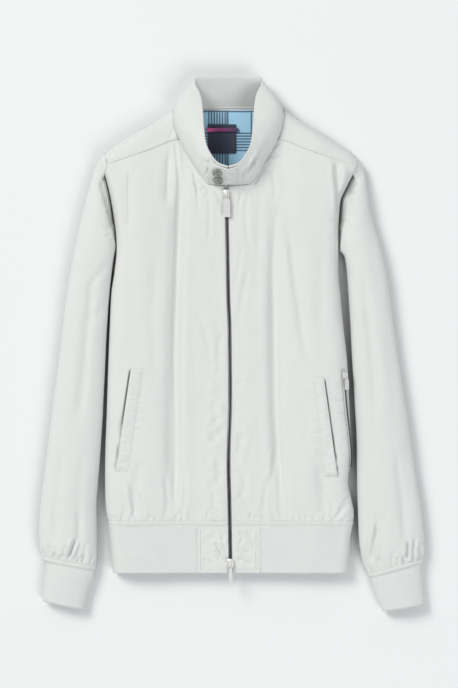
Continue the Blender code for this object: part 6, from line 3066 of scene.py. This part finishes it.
@dataclass
class SeamSewing:
    """Topstitching of the whole jacket."""

    welts: Sequence[Welt]
    collar: StandCollar
    inset: float = 1.7

    def welt_rows(self) -> list[tuple[PlanPoint, ...]]:
        """Rows just inside the edges of the welts.

        Returns:
            Paths in plan.
        """
        rows = []
        for welt in self.welts:
            corners = [np.array(corner) for corner in welt.corners()]
            middle = sum(corners) / 4
            moved = [c + np.sign(middle - c) * np.array([self.inset + 0.4, self.inset]) for c in corners]
            for a, b in zip(moved, moved[1:] + moved[:1]):
                rows.append((tuple(a), tuple(b)))
        return rows

    def collar_rows(self) -> list[tuple[PlanPoint, ...]]:
        """Rows along the collar's seam.

        Returns:
            Paths in plan.
        """
        places = np.linspace(0.16, 0.66, 14)
        return [plan_path(self.collar.point(side, places, rise)) for rise in (0.0, 0.11)
                for side in (-1.0, 1.0)]

    def tab_rows(self) -> list[tuple[PlanPoint, ...]]:
        """Rows just inside the tab's edges.

        Returns:
            Paths in plan.
        """
        c = self.collar
        low, high, left, right = c.tab_low + 0.07, c.tab_high - 0.07, c.tab_left + 2.2, c.tab_right - 2
        corners = [(left, low), (right, low), (right, high), (left, high)]
        share = np.linspace(0, 1, 6)
        rows = []
        for a, b in zip(corners, corners[1:] + corners[:1]):
            x, rise = a[0] + (b[0] - a[0]) * share, a[1] + (b[1] - a[1]) * share
            rows.append(plan_path(c.over_throat(x, rise, c.tab_lift + c.tab_thickness)))
        return rows

    def build(self, ground: BVHTree) -> list[Piece]:
        """Sew every row.

        Args:
            ground: tree of the cloth.

        Returns:
            The pieces of thread.
        """
        made = []
        for name, rows in (("panel_stitches", Seams.ROWS), ("welt_stitches", self.welt_rows()),
                           ("collar_stitches", self.collar_rows()), ("tab_stitches", self.tab_rows())):
            stitches = Stitches(name)
            for seed, row in enumerate(rows):
                stitches.lay(row, ground, seed)
            made.append(dress(stitches.build(), Finishes.THREAD))
        return made


# ---------------------------------------------------------------- stage


@dataclass(frozen=True)
class Lamp:
    """Soft square light: its place and size in metres, its power in watts and its colour."""

    name: str
    place: tuple[float, float, float]
    size: float
    power: float
    colour: Colour

    def build(self) -> None:
        """Make the lamp, turned to the jacket."""
        data = bpy.data.lights.new(self.name, "AREA")
        data.shape, data.size, data.energy, data.color = "SQUARE", self.size, self.power, self.colour
        item = linked(self.name, data)
        item.location = self.place
        item.rotation_mode = "QUATERNION"
        item.rotation_quaternion = (-Vector(self.place)).to_track_quat("-Z", "Y")


@dataclass
class Studio:
    """Floor, camera and soft light from the upper left; camera sizes are in metres."""

    distance: float = 3.4
    view_height: float = 1.032
    view_x: float = -0.0041
    level: float = 0.018
    sensor: float = 36.0
    floor_half: float = 9000.0
    floor_z: float = -0.4
    lamps: tuple[Lamp, ...] = (
        Lamp("key", (-4.8, 4.2, 5.8), 3.4, 446.0, (1.0, 0.997, 0.985)),
        Lamp("fill", (3.4, -4.0, 5.0), 4.0, 184.0, (0.98, 0.99, 1.0)))
    sky: Colour = (0.965, 0.985, 1.0)
    sky_strength: float = 0.425

    def floor(self) -> None:
        """Make the wide pale floor under the jacket."""
        half = self.floor_half
        corners = [(x * half, y * half, self.floor_z) for x, y in ((-1, -1), (1, -1), (1, 1), (-1, 1))]
        item = mesh_object("floor", np.array(corners), [(0, 1, 2, 3)], smooth=False)
        item.data.materials.append(Finishes.FLOOR.material())

    def camera(self) -> None:
        """Set the camera straight above, with the collar up."""
        data = bpy.data.cameras.new("camera")
        data.sensor_fit, data.sensor_width, data.sensor_height = "VERTICAL", self.sensor, self.sensor
        data.lens = self.sensor * self.distance / self.view_height
        item = linked("camera", data)
        item.location = (self.view_x, 0.0, self.distance + self.level)
        bpy.context.scene.camera = item

    def world(self) -> None:
        """Set the even light from all round."""
        world = bpy.data.worlds.new("studio")
        world.use_nodes = True
        back = world.node_tree.nodes["Background"]
        back.inputs["Color"].default_value = solid(self.sky)
        back.inputs["Strength"].default_value = self.sky_strength
        bpy.context.scene.world = world

    def build(self) -> None:
        """Set the stage."""
        self.floor()
        self.camera()
        bpy.context.scene.view_settings.view_transform = "Standard"
        for lamp in self.lamps:
            lamp.build()
        self.world()


# ---------------------------------------------------------------- the jacket


@dataclass
class Jacket:
    """The whole jacket."""

    welts: tuple[Welt, ...] = (
        Welt("welt_left", -36, -190, -150.4, -173.3, -132.2, -155.9, Folds.FRONT),
        Welt("welt_right", -49, -198, 137.3, 157.8, 121.9, 137.4, Folds.FRONT))
    sleeve_left: tuple[Rib, ...] = (
        Rib(-198.0, 283.5, -173.6, 145.0, 0, 7), Rib(-207.4, 261.0, -174.6, 141.8, 25, 10),
        Rib(-214.1, 235.5, -175.6, 137.3, 29, 12), Rib(-221.6, 206.3, -176.9, 130.5, 31, 13),
        Rib(-230.2, 169.8, -178.8, 118.5, 31, 13), Rib(-238.9, 127.8, -181.4, 94.5, 31, 13),
        Rib(-246.5, 85.5, -184.2, 63.0, 31, 13), Rib(-253.1, 34.5, -187.1, 24.0, 31, 13),
        Rib(-262.1, -43.5, -190.4, -43.5, 31, 13), Rib(-268.6, -90.0, -192.7, -90.0, 31, 13),
        Rib(-275.2, -142.5, -195.8, -142.5, 31, 13), Rib(-282.5, -204.0, -200.3, -204.0, 31, 13),
        Rib(-287.5, -244.5, -202.9, -244.5, 31, 13), Rib(-289.3, -282.0, -202.4, -288.0, 31, 13),
        Rib(-288.2, -306.0, -202.5, -316.5, 29, 12), Rib(-285.8, -318.0, -204.0, -331.8, 26.4, 11.3),
        Rib(-282.6, -325.6, -205.6, -340.0, 25.3, 11.4))
    sleeve_right: tuple[Rib, ...] = (
        Rib(193.6, 283.0, 160.9, 143.0, 0, 7), Rib(199.8, 262.5, 162.6, 139.5, 25, 10),
        Rib(203.2, 234.0, 164.9, 137.3, 29, 12), Rib(207.1, 204.0, 167.6, 134.3, 31, 13),
        Rib(214.9, 174.0, 170.4, 126.0, 31, 13), Rib(224.6, 141.0, 172.6, 108.0, 31, 13),
        Rib(234.1, 91.5, 175.0, 78.0, 31, 13), Rib(241.9, 39.0, 178.0, 33.0, 31, 13),
        Rib(253.6, -42.0, 181.9, -42.0, 31, 13), Rib(261.4, -96.0, 184.7, -96.0, 31, 13),
        Rib(269.6, -151.5, 187.3, -151.5, 31, 13), Rib(277.9, -208.5, 188.5, -208.5, 31, 13),
        Rib(284.6, -247.5, 189.6, -247.5, 31, 13), Rib(288.4, -282.0, 191.2, -294.0, 31, 13),
        Rib(289.4, -307.0, 196.3, -327.0, 29, 12), Rib(287.8, -320.0, 203.0, -341.8, 26.4, 11.3),
        Rib(286.2, -328.8, 206.2, -350.6, 25.3, 11.4))
    cuff_left: tuple[Rib, ...] = (
        Rib(-281.6, -324.4, -206.2, -338.6, 24, 11), Rib(-279.6, -336.0, -207.4, -348.0, 25, 11),
        Rib(-281.6, -358.5, -215.6, -370.0, 25, 11), Rib(-284.4, -386.0, -222.5, -399.0, 24, 11))
    cuff_right: tuple[Rib, ...] = (
        Rib(285.4, -327.6, 206.6, -349.4, 24, 11), Rib(285.2, -340.0, 209.6, -358.0, 25, 11),
        Rib(286.9, -364.5, 217.9, -381.0, 25, 11), Rib(289.3, -391.0, 226.5, -401.4, 24, 11))
    sleeve_dents: tuple[Dent, ...] = (
        Dent(0.42, 110, -120, 3.0, 0.10), Dent(0.70, -150, -310, 3.0, 0.07),
        Dent(0.30, -230, -325, 3.5, 0.06))
    buttons: tuple[Button, ...] = (Button("collar_button_upper", -15.8, 0.66),
                                   Button("collar_button_lower", -14.6, 0.30))

    def tubes(self) -> list[Tube]:
        """Sleeves and cuffs.

        Returns:
            The tubes, not yet built.
        """
        made = []
        rows = ((Side.LEFT, self.sleeve_left, self.cuff_left, Folds.SLEEVE_LEFT),
                (Side.RIGHT, self.sleeve_right, self.cuff_right, Folds.SLEEVE_RIGHT))
        for side, sleeve, cuff, relief in rows:
            name = side.name.lower()
            made.append(Tube(side, f"sleeve_{name}_cloth", f"sleeve_{name}", sleeve, relief,
                             Finishes.SHELL,
                             thickness=1.2, rows=220, round_points=96, armhole=True, end_band=5.4,
                             dents=self.sleeve_dents))
            made.append(Tube(side, f"cuff_{name}_knit", f"cuff_{name}", cuff, Folds.CUFF, Finishes.RIB,
                             thickness=2.2, rows=28, round_points=84))
        return made

    def build(self) -> None:
        """Make every piece."""
        cloth = [FrontPanel(side, Folds.FRONT).build() for side in Side]
        cloth.append(BackPanel(Folds.BACK, Folds.SHOULDER).build())
        cloth += [tube.build() for tube in self.tubes()]
        cloth += Waistband(Folds.HEM, Folds.HEM_END).build()
        collar = StandCollar(Folds.COLLAR)
        cloth += collar.build()
        cloth += [welt.build() for welt in self.welts]
        for button in self.buttons:
            button.build(collar)
        CentreZip().build()
        SideZip().build()
        NeckInside().build()
        SeamSewing(self.welts, collar).build(ground_of(cloth))


def main() -> None:
    """Build the scene."""
    logging.basicConfig(level=logging.INFO, format="%(name)s %(message)s")
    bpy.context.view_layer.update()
    Studio().build()
    Jacket().build()
    LOG.info("pieces done")


if __name__ == "__main__":
    main()
